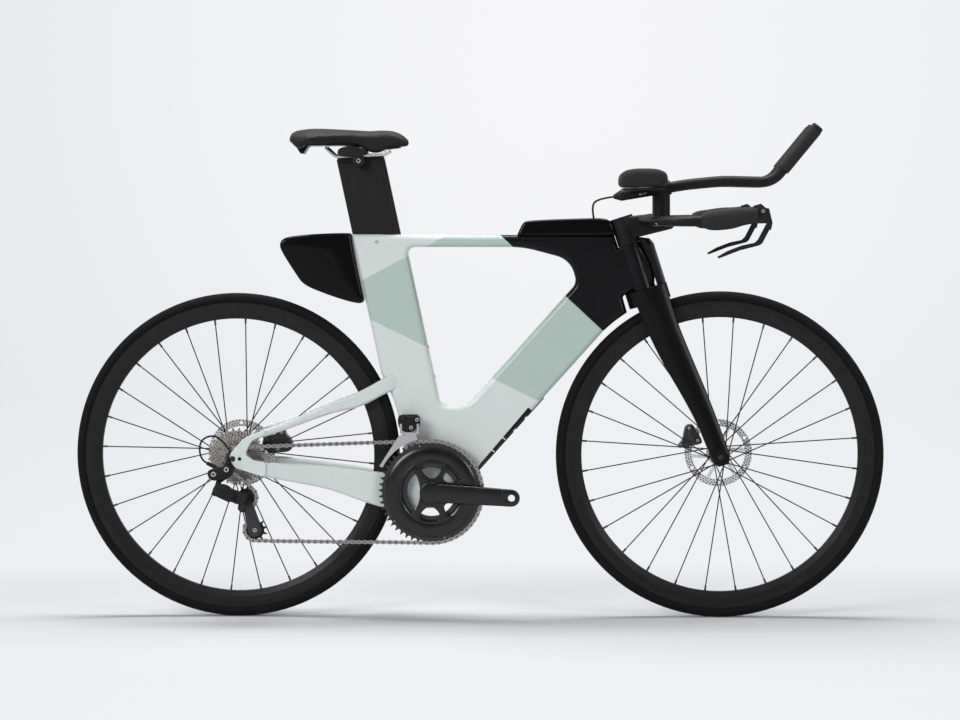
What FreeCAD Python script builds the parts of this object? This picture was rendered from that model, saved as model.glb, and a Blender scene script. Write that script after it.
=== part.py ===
import FreeCAD, Part
import Sketcher
import math
import os
import re
from types import SimpleNamespace
from FreeCAD import Placement, Rotation, Vector

# A time trial bicycle, in millimetres. X points forward, Y to the rider's left, Z up.
# The origin lies on the ground, midway between the two axles.

SIZES = {
    # Wheel places and angles
    "wheelbase": 994, "wheel_radius": 336, "seat_foot_depth": 66, "bb_drop": 72,
    "head_angle": 72.5, "fork_rake": 45, "seat_angle": 78.2,
    # Front triangle
    "frame_rise": 528, "frame_width": 40, "frame_edge_radius": 11.5,
    "front_wheel_gap": 13, "rear_wheel_gap": 8, "shell_radius": 26, "shell_gap": 0.8,
    "bb_bearing_radius": 20.5, "bb_bearing_width": 12, "spindle_radius": 12,
    "head_tube_radius": 25, "headset_radius": 20.5, "headset_height": 7, "headset_inset": 3,
    "crown_rise": 36, "head_length": 96, "steerer_radius": 14.3, "crown_gap": 0.4,
    # Stays
    "dropout_spacing": 142, "dropout_thickness": 13, "stay_gap": 36, "stay_thickness": 15,
    "stay_edge_radius": 2, "dropout_hole_radius": 4,
    # Guard strips under the down tube
    "guard_thickness": 2, "guard_width": 17,
    # Seatpost and saddle
    "post_depth": 100, "post_width": 25, "post_tail_radius": 6, "post_height": 152,
    "post_insertion": 110, "hook_width": 40,
    "rail_rise": 14.1, "saddle_length": 246, "saddle_width": 136, "pad_thickness": 26,
    "shell_thickness": 5, "saddle_channel_radius": 60, "saddle_channel_depth": 3.5,
    "rail_radius": 3.5, "rail_spacing": 44, "rail_drop": 29, "rail_bend_radius": 16,
    "clamp_length": 42, "clamp_height": 10, "clamp_width": 13, "clamp_bolt_radius": 4,
    "clamp_head_radius": 8, "clamp_head_height": 5,
    # Boxes on the frame
    "rear_box_width": 46, "rear_box_edge_radius": 9, "rear_box_gap": 0.3,
    "top_box_width": 38, "top_box_height": 33, "top_box_edge_radius": 6, "top_box_gap": 0.1,
    # Fork and nose piece
    "crown_radius": 40, "crown_height": 31, "fork_spacing": 100, "tip_radius": 15, "tip_thickness": 13,
    "hub_room": 25,
    "nose_gap": 3.2, "nose_thickness": 10, "nose_angle": 80, "nose_lip_width": 30, "nose_slope": 12,
    "nose_hook": 4,
    # Base bar, risers, extensions and arm rests
    "bar_hub_radius": 23.5, "bar_hub_height": 58, "bar_hub_gap": 0.6, "bar_width": 396, "bar_drop": 7.2,
    "bar_thickness": 21, "bar_chord": 56, "stem_width": 42, "stem_edge_radius": 7, "bar_reach": 154,
    "extension_radius": 11, "extension_spacing": 104, "extension_length": 391, "extension_rise": 130.5,
    "extension_lift": 51.5, "riser_length": 33, "riser_width": 22,
    "riser_reach": 82, "clamp_ring_radius": 14.5, "clamp_ring_length": 36,
    "cup_length": 84, "cup_width": 74, "cup_thickness": 5, "cup_reach": 44, "cup_rise": 61,
    "pad_length": 100, "pad_width": 78, "arm_pad_height": 33, "pad_dish_radius": 62, "pad_dish_depth": 5,
    "grip_wall": 2.6, "grip_length": 104, "plug_length": 9, "plug_radius": 12.4, "tail_length": 15,
    "tail_radius": 4,
    # Base bar grips and brake levers
    "grip_gap": 0.3, "lever_body_width": 14, "lever_pin_radius": 2.5, "lever_ear": 3, "lever_width": 10,
    # Wheels
    "tyre_width": 26, "tyre_height": 19.5, "rim_depth": 33.5, "rim_width": 23, "rim_track": 11,
    "rim_nose": 9, "rim_flange": 1.8, "rim_well": 7, "rim_belly": 2, "axle_radius": 6, "cap_radius": 9.5,
    "spoke_width": 2.3, "spoke_thickness": 0.9, "spoke_seat": 0.9, "spoke_inset": 2.5, "nipple_gap": 0.4,
    "flange_thickness": 3, "flange_radius": 20, "barrel_radius": 10, "spoke_dish": 1.5,
    "front_cap_length": 2.5, "front_flange_inset": 14.5, "front_rotor_inset": 9.5, "rotor_clearance": 16,
    "right_cap_length": 2, "left_cap_length": 13.5, "freehub_length": 43.5, "rear_flange_inset": 6.5,
    "rear_rotor_inset": 5.5, "rear_rotor_clearance": 20, "rotor_radius": 70, "rotor_track": 15,
    "rotor_thickness": 1.8, "front_spoke_turn": -31.6, "rear_spoke_turn": -29.4,
    "rotor_seat_radius": 17, "rotor_ring": 8, "rotor_arm": 7, "rotor_hole_radius": 3.2,
    "axle_head_radius": 9, "axle_head_length": 4,
    # Brake calipers
    "caliper_width": 27, "caliper_slot": 3.4, "caliper_edge_radius": 4, "caliper_slot_margin": 1.5,
    "brake_pad_thickness": 1.1, "brake_pad_radius": 8.5,
    # Drivetrain
    "chain_pitch": 12.7, "roller_radius": 3.85, "plate_thickness": 0.7, "inner_gap": 2.2,
    "link_clearance": 0.2, "plate_height": 8, "plate_waist": 4.6, "tooth_thickness": 1.6, "tooth_height": 3.4,
    "root_clearance": 0.1, "root_half_width": 2.65, "tip_half_width": 0.75,
    "chainline": 47, "ring_spacing": 7, "ring_thickness": 3.6, "ring_rim": 9, "ring_inner_radius": 61,
    "small_ring_inner_radius": 50, "spider_arm": 32, "spider_radius": 66, "spider_opening_radius": 58,
    "spider_corner": 6, "sprocket_inset": 3, "sprocket_spacing": 3.74, "sleeve_wall": 1.4, "root_wall": 1.2,
    "crank_length": 165, "crank_angle": -3.5, "crank_hub_radius": 21, "crank_end_radius": 17,
    "crank_offset": 23.5, "crank_thickness": 13, "crank_gap": 0.7, "pedal_hole_radius": 7.14,
    # Front derailleur
    "front_cage_clearance": 6.8, "front_cage_height": 15, "front_cage_start": 104, "front_cage_end": 153,
    "front_tail_turn": 2, "front_tail_height": 7, "front_cage_peak": 120, "front_peak_height": 21, "front_cage_gap": 4.6, "front_cage_plate": 1.2, "front_pivot_clearance": 29,
    "front_pivot_offset": 33, "front_barrel_radius": 5.5, "front_pin_radius": 2.5, "front_mount_height": 22,
    "front_barrel_length": 30, "front_ear": 4, "front_barrel_place": 44, "front_roof": 3.5,
    "front_tail_radius": 2.4,
    # Rear derailleur
    "hanger_thickness": 6, "hanger_inset": 3, "hanger_drop": 28, "hanger_set_back": 12, "hanger_radius": 11,
    "mech_bolt_radius": 8, "knuckle_thickness": 11, "knuckle_radius": 10, "link_length": 60,
    "link_angle": 20, "link_slant": 25, "link_spacing": 15, "outer_link_width": 26, "inner_link_width": 14,
    "link_thickness": 5, "link_pin_radius": 2.2, "link_room": 7.5,
    "lower_knuckle_thickness": 8, "bridge_thickness": 5, "link_gap": 0.6, "guide_drop": 81, "guide_lead": 24,
    "cage_length": 69, "adjuster_radius": 4, "adjuster_reach": 40, "adjuster_rise": 20,
    "cage_angle": 12, "cage_gap": 3.2, "cage_plate": 1.5, "cage_pin_radius": 2.5, "cage_upper_radius": 9,
    "cage_lower_radius": 14, "cable_radius": 2,
    # Fits
    "running_gap": 0.05, "seat_gap": 0.02, "touch_gap": 0.3, "mount_gap": 0.1, "overrun": 5,
}

# Sizes that follow from the ones above, so that the pieces keep fitting
DERIVED = {
    "chainstay_length": "wheel_radius + rear_wheel_gap + seat_foot_depth",
    "crown_level": "wheel_radius + crown_rise",
    "head_top_level": "crown_level + head_length",
    "bar_hub_top": "head_top_level + bar_hub_height",
    "rim_radius": "wheel_radius - tyre_height",
    "rim_inner_radius": "rim_radius - rim_depth",
    "half_shell": "chainline - ring_spacing + ring_thickness / 2 - shell_gap",
    "crank_hub_inner": "chainline + ring_thickness / 2 + crank_gap",
    "crank_outer": "crank_hub_inner + crank_offset",
    "front_hub_end": "fork_spacing / 2 - front_cap_length",
    "front_right_flange": "front_hub_end - front_flange_inset",
    "front_rotor_place": "front_hub_end - front_rotor_inset",
    "front_left_flange": "front_rotor_place - rotor_clearance",
    "rear_hub_left": "dropout_spacing / 2 - left_cap_length",
    "freehub_end": "dropout_spacing / 2 - right_cap_length",
    "first_sprocket_place": "freehub_end - sprocket_inset",
    "rear_hub_right": "freehub_end - freehub_length",
    "rear_right_flange": "rear_hub_right - rear_flange_inset",
    "rear_rotor_place": "rear_hub_left - rear_rotor_inset",
    "rear_left_flange": "rear_rotor_place - rear_rotor_clearance",
    "nose_outer_radius": "nose_inner_radius + nose_thickness",
    "nose_top_radius": "head_tube_radius + nose_gap", "nose_bend_level": "crown_level + head_length / 2",
}
SPOKES = 28
CROSSINGS = 2
ROTOR_ARMS = 6
ROTOR_HOLES = 6
SPROCKET_TEETH = (11, 12, 13, 14, 15, 17, 19, 21, 23, 25, 28)
BIG_RING_TEETH = 52
SMALL_RING_TEETH = 36
PULLEY_TEETH = 11
ROLLER_SIDES = 6
SPIDER_ANGLES = (50, 122, 230, 302)

doc = FreeCAD.newDocument("TimeTrialBike")
sheet = doc.addObject("Spreadsheet::Sheet", "Sizes")
smallest_root = SIZES["chain_pitch"] / (2 * math.sin(math.pi / SPROCKET_TEETH[0])) - SIZES["roller_radius"]
NOSE_SHARES = (1.128, 1.392)
fitted = {"freehub_radius": smallest_root - SIZES["root_clearance"] - SIZES["root_wall"] - SIZES["sleeve_wall"],
          "nose_inner_radius": NOSE_SHARES[1] * SIZES["head_tube_radius"] + SIZES["nose_gap"]}
cells = SIZES | fitted | {name: "=" + formula for name, formula in DERIVED.items()}
for row, (name, value) in enumerate(cells.items(), 1):
    sheet.set(f"A{row}", name)
    sheet.set(f"B{row}", str(value))
    sheet.setAlias(f"B{row}", name)
doc.recompute()
s = SimpleNamespace(**{name: float(sheet.get(name)) for name in cells})

RIGHT, LEFT = -1, 1
along_y = Rotation(Vector(0, 0, 1), 90)
nodes = {}


# Points that everything else hangs on
rear_hub = Vector(-s.wheelbase / 2, 0, s.wheel_radius)
front_hub = Vector(s.wheelbase / 2, 0, s.wheel_radius)
bb = Vector(rear_hub.x + math.sqrt(s.chainstay_length**2 - s.bb_drop**2), 0, s.wheel_radius - s.bb_drop)
head_tilt = math.radians(s.head_angle)
steer_up = Vector(-math.cos(head_tilt), 0, math.sin(head_tilt))
steer_out = Vector(math.sin(head_tilt), 0, math.cos(head_tilt))
steer_foot = front_hub - steer_out * s.fork_rake
HEAD_TOP_SHARES = (-0.96, 0.8)
head_rear = (steer_foot + steer_out * (HEAD_TOP_SHARES[0] * s.head_tube_radius)
             + steer_up * s.head_top_level)
steer_frame = Placement(steer_foot, Rotation(steer_out, Vector(0, 1, 0), steer_up, "ZXY"))
ring_place = -s.chainline
small_ring_place = ring_place + s.ring_spacing


def steer(out, level, side=0):
    """A point given by its distance ahead of the head axis and its level along it."""
    return steer_foot + steer_out * out + steer_up * level + Vector(0, side, 0)


def frame_point(x_share, z_share):
    """A point of the frame, in shares of its rise, and of its reach to the head tube if ahead of the crank."""
    along = s.frame_rise if x_share < 0 else head_rear.x - bb.x
    return Vector(bb.x + x_share * along, 0, bb.z + z_share * s.frame_rise)


def around(centre, radius, angle):
    """A point on a circle in the side view."""
    turn = math.radians(angle)
    return centre + Vector(radius * math.cos(turn), 0, radius * math.sin(turn))


# Shared ways of making shapes

def bound(text):
    """An expression on the sheet's cells, written with their plain names."""
    return re.sub(r"[a-z_]+", lambda word: "Sizes." + word.group(), text)


def new_body(label, placement):
    body = doc.addObject("PartDesign::Body", label)
    body.Placement = placement
    return body


def profile(body, role, points):
    """A closed sketch of straight lines whose corners are bound to the sheet."""
    sketch = body.newObject("Sketcher::SketchObject", body.Name + "Profile")
    plane = next(f for f in body.Origin.OriginFeatures if f.Role == role)
    sketch.AttachmentSupport = [(plane, "")]
    sketch.MapMode = "FlatFace"
    spots = [Vector(*(float(sketch.evalExpression(bound(part))) for part in point)) for point in points]
    for here, there in zip(spots, spots[1:] + spots[:1]):
        sketch.addGeometry(Part.LineSegment(here, there), False)
    for index, point in enumerate(points):
        sketch.addConstraint(Sketcher.Constraint("Coincident", index, 2, (index + 1) % len(points), 1))
        for kind, part, place in zip(("DistanceX", "DistanceY"), point, spots[index]):
            number = sketch.addConstraint(Sketcher.Constraint(kind, -1, 1, index, 1, place))
            sketch.setExpression(f"Constraints[{number}]", bound(part))
    return sketch


def turned(label, points, placement):
    """A piece turned about its own X axis, from pairs of a place along it and a radius."""
    body = new_body(label, placement)
    turning = body.newObject("PartDesign::Revolution", label + "_turning")
    turning.Profile = profile(body, "XY_Plane", points)
    turning.ReferenceAxis = (turning.Profile[0], ["H_Axis"])
    turning.Angle = 360
    doc.recompute()
    return body


def node(label, piece):
    """Registers a sub-part under the name of its file."""
    if not hasattr(piece, "Shape"):
        shape, piece = piece, doc.addObject("Part::Feature", label)
        piece.Shape = shape
        piece.Placement = shape.Placement
    piece.Label = label
    nodes[label] = piece
    return piece.Shape


def outline(corners):
    """A closed wire through corners of a point, a rounding radius and, for an arc, a point on the way."""
    points = [corner[0] for corner in corners]
    starts, ends, edges = [], [], []
    for index, corner in enumerate(corners):
        here, radius = corner[0], corner[1]
        back = (points[index - 1] - here).normalize()
        ahead = (points[(index + 1) % len(points)] - here).normalize()
        half = back.getAngle(ahead) / 2
        starts.append(here + back * (radius / math.tan(half)))
        ends.append(here + ahead * (radius / math.tan(half)))
        middle = here + (back + ahead).normalize() * (radius / math.sin(half) - radius)
        edges.append(Part.Arc(starts[-1], middle, ends[-1]).toShape() if radius else None)
    loop = []
    for index, corner in enumerate(corners):
        following = starts[(index + 1) % len(corners)]
        loop += [edges[index]] if edges[index] else []
        way = corner[2] if len(corner) > 2 else None
        line = Part.Arc(ends[index], way, following) if way else Part.LineSegment(ends[index], following)
        loop.append(line.toShape())
    return Part.Wire(loop)


def slab(wire, start, thickness, direction=Vector(0, 1, 0)):
    """A flat wire moved to its start along a direction and extruded."""
    piece = Part.Face(wire).extrude(direction * thickness)
    piece.translate(direction * start)
    return piece.Solids[0]


def flat_edges(shape, direction=Vector(0, 1, 0)):
    """The edges that lie in a plane square to a direction."""
    def span(edge):
        heights = [point.dot(direction) for point in edge.discretize(5)]
        return max(heights) - min(heights)
    return [edge for edge in shape.Edges if span(edge) < Part.Precision.confusion()]


def rod(start, end, radius):
    """A round bar between two points."""
    return Part.makeCylinder(radius, (end - start).Length, start, end - start)


def tube_ring(start, end, radius, bore):
    return rod(start, end, radius).cut(rod(start, end, bore))


OVAL_POWER = 0.55
SPAN_STEPS = 3


def oval(centre, across, upward, half_across, half_up):
    """A closed section of four arcs, close to an ellipse with its half axes along given directions."""
    if half_across >= half_up:
        turn = math.pi / 4 * (half_up / half_across) ** OVAL_POWER
    else:
        turn = math.pi / 2 - math.pi / 4 * (half_across / half_up) ** OVAL_POWER
    aside, above = across * half_across, upward * half_up
    corners = [centre + aside * (i * math.cos(turn)) + above * (j * math.sin(turn))
               for i, j in ((1, 1), (-1, 1), (-1, -1), (1, -1))]
    ways = (centre + above, centre - aside, centre - above, centre + aside)
    return Part.Wire([Part.Arc(here, way, there).toShape()
                      for here, way, there in zip(corners, ways, corners[1:] + corners[:1])])


def smooth_rows(rows):
    """The rows of a table with further ones between them, on a smooth curve through them all."""
    fine = []
    last = len(rows) - 1
    for index in range(last):
        near = [rows[min(max(index + offset, 0), last)] for offset in (-1, 0, 1, 2)]
        for step in range(SPAN_STEPS):
            u = step / SPAN_STEPS
            blend = ((-u + 2 * u**2 - u**3) / 2, (2 - 5 * u**2 + 3 * u**3) / 2, (u + 4 * u**2 - 3 * u**3) / 2,
                     (u**3 - u**2) / 2)
            fine.append(tuple(sum(share * value for share, value in zip(blend, column)) for column in zip(*near)))
    return fine + [rows[-1]]


def loft(wires):
    """A solid with straight runs from each section to the next."""
    return Part.makeLoft(wires, True, True)


def route(points, radii):
    """A path of straight runs joined by tangent arcs."""
    edges = []
    here = points[0]
    for before, corner, after, radius in zip(points, points[1:], points[2:], radii):
        back = (before - corner).normalize()
        ahead = (after - corner).normalize()
        half = back.getAngle(ahead) / 2
        entry = corner + back * (radius / math.tan(half))
        leave = corner + ahead * (radius / math.tan(half))
        middle = corner + (back + ahead).normalize() * (radius / math.sin(half) - radius)
        edges += [Part.LineSegment(here, entry).toShape(), Part.Arc(entry, middle, leave).toShape()]
        here = leave
    edges.append(Part.LineSegment(here, points[-1]).toShape())
    return Part.Wire(edges)


RUN_SHARE = 0.45


def largest_radii(points):
    """Arc radii as large as the runs of a cable allow."""
    radii = []
    for before, corner, after in zip(points, points[1:], points[2:]):
        turn = math.pi - (before - corner).getAngle(after - corner)
        run = min((before - corner).Length, (after - corner).Length)
        radii.append(RUN_SHARE * run / math.tan(turn / 2))
    return radii


def pipe(points, radii, radius):
    """A round tube along a path."""
    path = route(points, radii)
    section = Part.Wire(Part.makeCircle(radius, points[0], points[1] - points[0]))
    return path.makePipeShell([section], True, False)


def mirrored(shape):
    return shape.mirror(Vector(0, 0, 0), Vector(0, 1, 0))


def pair(shape):
    """A right-hand piece and its left-hand twin."""
    return Part.Compound([shape, mirrored(shape)])


# Front triangle: a flat outline with its window, rounded along every edge
HOLE_SHARES = ((-0.0958, 0.949, 0.0265), (0.4907, 0.947, 0.379), (0.7435, 0.8977, 0.0947),
               (0.7773, 0.8068, 0.0473), (0.186, 0.3305, 0.0852), (0.0469, 0.3305, 0.0341))
REAR_TOP_SHARES = (-0.3097, 1.0)
FRONT_TOP_SHARES = (0.9782, 0.9905)
NOSE_LEVEL_SHARES = (0.652, 0.377)
HEAD_NOSE_ROUND_SHARE = 0.057
SHELL_CORNER_SHARES = (0.0609, -0.072)
SHELL_ROUND_SHARE = 0.1136
CROWN_SHARES = (0.92, -1.84)
FRONT_CUT_ANGLES = (122.8, 127.8, 132.9)
REAR_CUT_ANGLES = (-18.6, 5.4, 29.4)


def frame_top(x):
    """Height of the frame's top edge at a place along it."""
    back, front = frame_point(*REAR_TOP_SHARES), frame_point(*FRONT_TOP_SHARES)
    return back.z + (front.z - back.z) * (x - back.x) / (front.x - back.x)


def frame_back(z):
    """Place of the seat tube's rear edge at a height."""
    top = frame_point(*REAR_TOP_SHARES)
    foot = around(rear_hub, s.wheel_radius + s.rear_wheel_gap, REAR_CUT_ANGLES[-1])
    return top.x + (foot.x - top.x) * (z - top.z) / (foot.z - top.z)


def post_section(level, gap=0.0):
    """Outline of the seatpost where it crosses a height: a round nose tapering to a narrow tail."""
    lean = 1 / math.tan(math.radians(s.seat_angle))
    middle = post_base.x - (level - post_base.z) * lean
    nose = s.post_width / 2 + gap
    tail = s.post_tail_radius + gap
    front = Vector(middle + s.post_depth / 2 - s.post_width / 2, 0, level)
    rear = Vector(middle - s.post_depth / 2 + s.post_tail_radius, 0, level)
    return [front + Vector(0, nose, 0), front + Vector(nose, 0, 0), front - Vector(0, nose, 0),
            rear - Vector(0, tail, 0), rear - Vector(tail, 0, 0), rear + Vector(0, tail, 0)]


def post_prism(low, high, gap=0.0):
    """The seatpost's leaning prism between two heights."""
    a, b, c, d, e, f = post_section(low, gap)
    wire = Part.Wire([Part.Arc(a, b, c).toShape(), Part.makeLine(c, d),
                      Part.Arc(d, e, f).toShape(), Part.makeLine(f, a)])
    return Part.Face(wire).extrude(post_section(high, gap)[0] - a)


POST_BASE_SHARES = (-0.2124, 1.0)
post_base = frame_point(*POST_BASE_SHARES)


def front_triangle():
    front_cut = [around(front_hub, s.wheel_radius + s.front_wheel_gap, angle) for angle in FRONT_CUT_ANGLES]
    rear_cut = [around(rear_hub, s.wheel_radius + s.rear_wheel_gap, angle) for angle in REAR_CUT_ANGLES]
    head = s.head_tube_radius
    nose_corners = [(steer(out * head, s.crown_level + level * s.head_length), HEAD_NOSE_ROUND_SHARE * s.frame_rise)
                    for out, level in zip(NOSE_SHARES, NOSE_LEVEL_SHARES)]
    outer = [(frame_point(*REAR_TOP_SHARES), 0), (frame_point(*FRONT_TOP_SHARES), 0),
             (steer(HEAD_TOP_SHARES[0] * head, s.head_top_level), 0),
             (steer(HEAD_TOP_SHARES[1] * head, s.head_top_level), 0),
             *nose_corners,
             (steer(CROWN_SHARES[0] * head, s.crown_level), 0),
             (steer(CROWN_SHARES[1] * head, s.crown_level), s.frame_edge_radius / 2),
             (front_cut[0], 0, front_cut[1]), (front_cut[2], 0),
             (frame_point(*SHELL_CORNER_SHARES), SHELL_ROUND_SHARE * s.frame_rise),
             (rear_cut[0], 0, rear_cut[1]), (rear_cut[2], 0)]
    window = [(frame_point(x, z), radius * s.frame_rise) for x, z, radius in HOLE_SHARES]
    face = Part.Face(outline(outer)).cut(Part.Face(outline(window)))
    tubes = face.extrude(Vector(0, s.frame_width, 0)).Solids[0]
    tubes.translate(Vector(0, -s.frame_width / 2, 0))
    tubes = tubes.makeFillet(s.frame_edge_radius, flat_edges(tubes))
    half_shell = Vector(0, s.half_shell, 0)
    shell = rod(bb - half_shell, bb + half_shell, s.shell_radius)
    head_tube = rod(steer(0, s.crown_level), steer(0, s.head_top_level), s.head_tube_radius)
    overrun = Vector(0, s.overrun, 0)
    shell_bore = rod(bb - half_shell - overrun, bb + half_shell + overrun, s.bb_bearing_radius)
    head_bore = rod(steer(0, s.crown_level - s.overrun), steer(0, s.head_top_level + s.overrun),
                    s.headset_radius)
    slot = post_prism(post_base.z - s.post_insertion, post_base.z + s.overrun, s.touch_gap)
    return tubes.fuse([shell, head_tube]).cut([shell_bore, head_bore, slot]).Solids[0]


frame = node("front_triangle", front_triangle())


def bearing_pair(label, first, second, axis, outer, inner, width):
    """Two bearing rings pressed into the ends of a bore."""
    rings = [tube_ring(place, place + axis * width, outer - s.seat_gap, inner) for place in (first, second)]
    return node(label, Part.Compound(rings))


shell_end = Vector(0, s.half_shell, 0)
bearing_pair("bottom_bracket_bearings", bb - shell_end, bb + shell_end - Vector(0, s.bb_bearing_width, 0),
             Vector(0, 1, 0), s.bb_bearing_radius, s.spindle_radius + s.running_gap, s.bb_bearing_width)
bearing_pair("headset_bearings", steer(0, s.crown_level + s.headset_inset),
             steer(0, s.head_top_level - s.headset_inset - s.headset_height), steer_up,
             s.headset_radius, s.steerer_radius + s.running_gap, s.headset_height)

# Stays: a seat stay and a chain stay of oval sections, joined by a flat dropout
SEAT_STAY_SHARES = ((0.141, 0.124, 0.95, 0.0192), (0.28, 0.1685, 0.62, 0.0215), (0.488, 0.248, 0.28, 0.0285),
                    (0.634, 0.2924, 0.06, 0.0397), (0.761, 0.357, -0.1, 0.042), (0.823, 0.379, -0.25, 0.042))
CHAIN_STAY_SHARES = ((0.141, -0.0545, 0.95, 0.036), (0.243, -0.0694, 0.72, 0.0434), (0.486, -0.109, 0.28, 0.061),
                     (0.731, -0.17, 0.0, 0.089), (0.947, -0.181, -0.1, 0.0917))
DROPOUT_SHARES = ((0.168, 0.15, 0.007), (0.059, 0.107, 0.08), (-0.025, 0.012, 0.045), (0.012, -0.046, 0.04),
                  (0.168, -0.096, 0.02), (0.168, -0.018, 0.012), (0.108, -0.008, 0.03), (0.062, 0.023, 0.025),
                  (0.097, 0.09, 0.04), (0.168, 0.125, 0.01))


def round_ended(centre, half_width, half_height):
    """A flat-sided upright section with round ends, square to X."""
    wide, tall = Vector(0, half_width, 0), Vector(0, 0, half_height - half_width)
    tip = Vector(0, 0, half_height)
    a, b, c, d = centre + wide - tall, centre + wide + tall, centre - wide + tall, centre - wide - tall
    return Part.Wire([Part.makeLine(a, b), Part.Arc(b, centre + tip, c).toShape(),
                      Part.makeLine(c, d), Part.Arc(d, centre - tip, a).toShape()])


def stays(side):
    """One seat stay, dropout and chain stay, in shares of the distance from the hub to the crank axis."""
    reach = bb.x - rear_hub.x
    narrow = (s.stay_gap + s.stay_thickness) / 2
    wide = (s.dropout_spacing + s.dropout_thickness) / 2
    limbs = []
    for table in (SEAT_STAY_SHARES, CHAIN_STAY_SHARES):
        sections = []
        for x, z, spread, half_height in smooth_rows(table):
            centre = rear_hub + Vector(x * reach, side * (narrow + spread * (wide - narrow)), z * reach)
            sections.append(round_ended(centre, s.stay_thickness / 2, half_height * reach))
        limbs.append(loft(sections))
    corners = [(rear_hub + Vector(x * reach, 0, z * reach), radius * reach) for x, z, radius in DROPOUT_SHARES]
    plate = slab(outline(corners), min(side * s.dropout_spacing / 2, side * s.dropout_spacing / 2
                                       + side * s.dropout_thickness), s.dropout_thickness)
    plate = plate.makeFillet(s.stay_edge_radius, flat_edges(plate))
    axle_hole = rod(rear_hub, rear_hub + Vector(0, side * s.dropout_spacing, 0), s.axle_radius + s.seat_gap)
    return plate.fuse(limbs).cut([frame, axle_hole]).Solids[0]


right_stays = stays(RIGHT)
SMALL_HOLE_SHARE = 0.035
hole_centre = rear_hub + Vector(SMALL_HOLE_SHARE * s.chainstay_length, 0, 0)
right_stays = right_stays.cut(rod(hole_centre, hole_centre - Vector(0, s.dropout_spacing, 0),
                                  s.dropout_hole_radius))
right_stays = node("right_stays", right_stays)
left_stays = node("left_stays", stays(LEFT))

# Guard strips along the lower edge of the down tube
GUARD_SHARES = ((0.185, 0.435), (0.45, 0.505), (0.52, 0.625))


def guard_strips():
    foot = frame_point(*SHELL_CORNER_SHARES)
    top = around(front_hub, s.wheel_radius + s.front_wheel_gap, FRONT_CUT_ANGLES[-1])
    run = top - foot
    across = Vector(0, 1, 0)
    outward = across.cross(run).normalize()
    strips = []
    for start, end in GUARD_SHARES:
        strip = Part.makeBox((end - start) * run.Length, s.guard_width, s.guard_thickness)
        strip.translate(Vector(0, -s.guard_width / 2, s.seat_gap))
        place = foot + run * start
        strip.Placement = Placement(place, Rotation(run, across, outward, "ZXY")) * strip.Placement
        strips.append(strip)
    return Part.Compound(strips)


node("down_tube_guard", guard_strips())

# Seatpost, and the saddle on its rails
post_top = post_base.z + s.post_height
lean = 1 / math.tan(math.radians(s.seat_angle))
CLAMP_SHARES = (-0.04, 0.95)
clamp_bolt = Vector(post_base.x - CLAMP_SHARES[1] * s.post_height * lean + CLAMP_SHARES[0] * s.post_depth, 0,
                    post_base.z + CLAMP_SHARES[1] * s.post_height)
bolt_reach = Vector(0, s.rail_spacing / 2 + s.clamp_width / 2, 0)
rail_level = clamp_bolt.z + s.rail_rise
saddle_top = rail_level - s.rail_radius + s.rail_drop + s.shell_thickness + s.pad_thickness
SADDLE_REACH_SHARE = 0.422
saddle_front = clamp_bolt.x + SADDLE_REACH_SHARE * s.saddle_length
saddle_tail = saddle_front - s.saddle_length
# Along the saddle: place, half width, drop of the crown, drop of the side and drop of the underside
SADDLE_SHARES = ((0.0, 0.30, 0.036, 0.075, 0.105), (0.06, 0.43, 0.012, 0.075, 0.115),
                 (0.18, 0.5, 0.0, 0.07, 0.118), (0.33, 0.46, 0.004, 0.06, 0.118),
                 (0.5, 0.31, 0.014, 0.05, 0.12), (0.66, 0.205, 0.02, 0.055, 0.14),
                 (0.8, 0.185, 0.009, 0.06, 0.15), (0.92, 0.17, 0.033, 0.08, 0.14),
                 (1.0, 0.10, 0.085, 0.105, 0.13))
TUCK_SHARE = 0.82
SHELL_SHARES = (0.8, 0.72)
CHANNEL_SHARE = 0.92
HOOK_SHARES = ((0.03, 0.105, 0.01), (0.09, 0.2, 0.008), (0.115, 0.205, 0.008), (0.15, 0.15, 0.008),
               (0.21, 0.118, 0))
RAIL_SHARES = (0.30, 0.385, 0.775, 0.835)


def saddle_floor(x_share):
    """Height of the shell's underside at a share of the saddle's length."""
    rows = [(row[0], row[-1]) for row in SADDLE_SHARES]
    for (x, under), (following, further) in zip(rows, rows[1:]):
        if x <= x_share <= following:
            drop = under + (further - under) * (x_share - x) / (following - x)
    return saddle_top - drop * s.saddle_length - s.shell_thickness


def rail_points(side):
    """A saddle rail from under the tail, along the clamp and up into the nose."""
    y = side * s.rail_spacing / 2
    ends = [saddle_floor(RAIL_SHARES[index]) - s.rail_radius for index in (0, -1)]
    levels = (ends[0], rail_level, rail_level + s.rail_radius, ends[1])
    return [Vector(saddle_tail + x * s.saddle_length, y, z) for x, z in zip(RAIL_SHARES, levels)]


def rail(side, extra=0.0):
    return pipe(rail_points(side), (s.rail_bend_radius,) * 2, s.rail_radius + extra)


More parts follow.
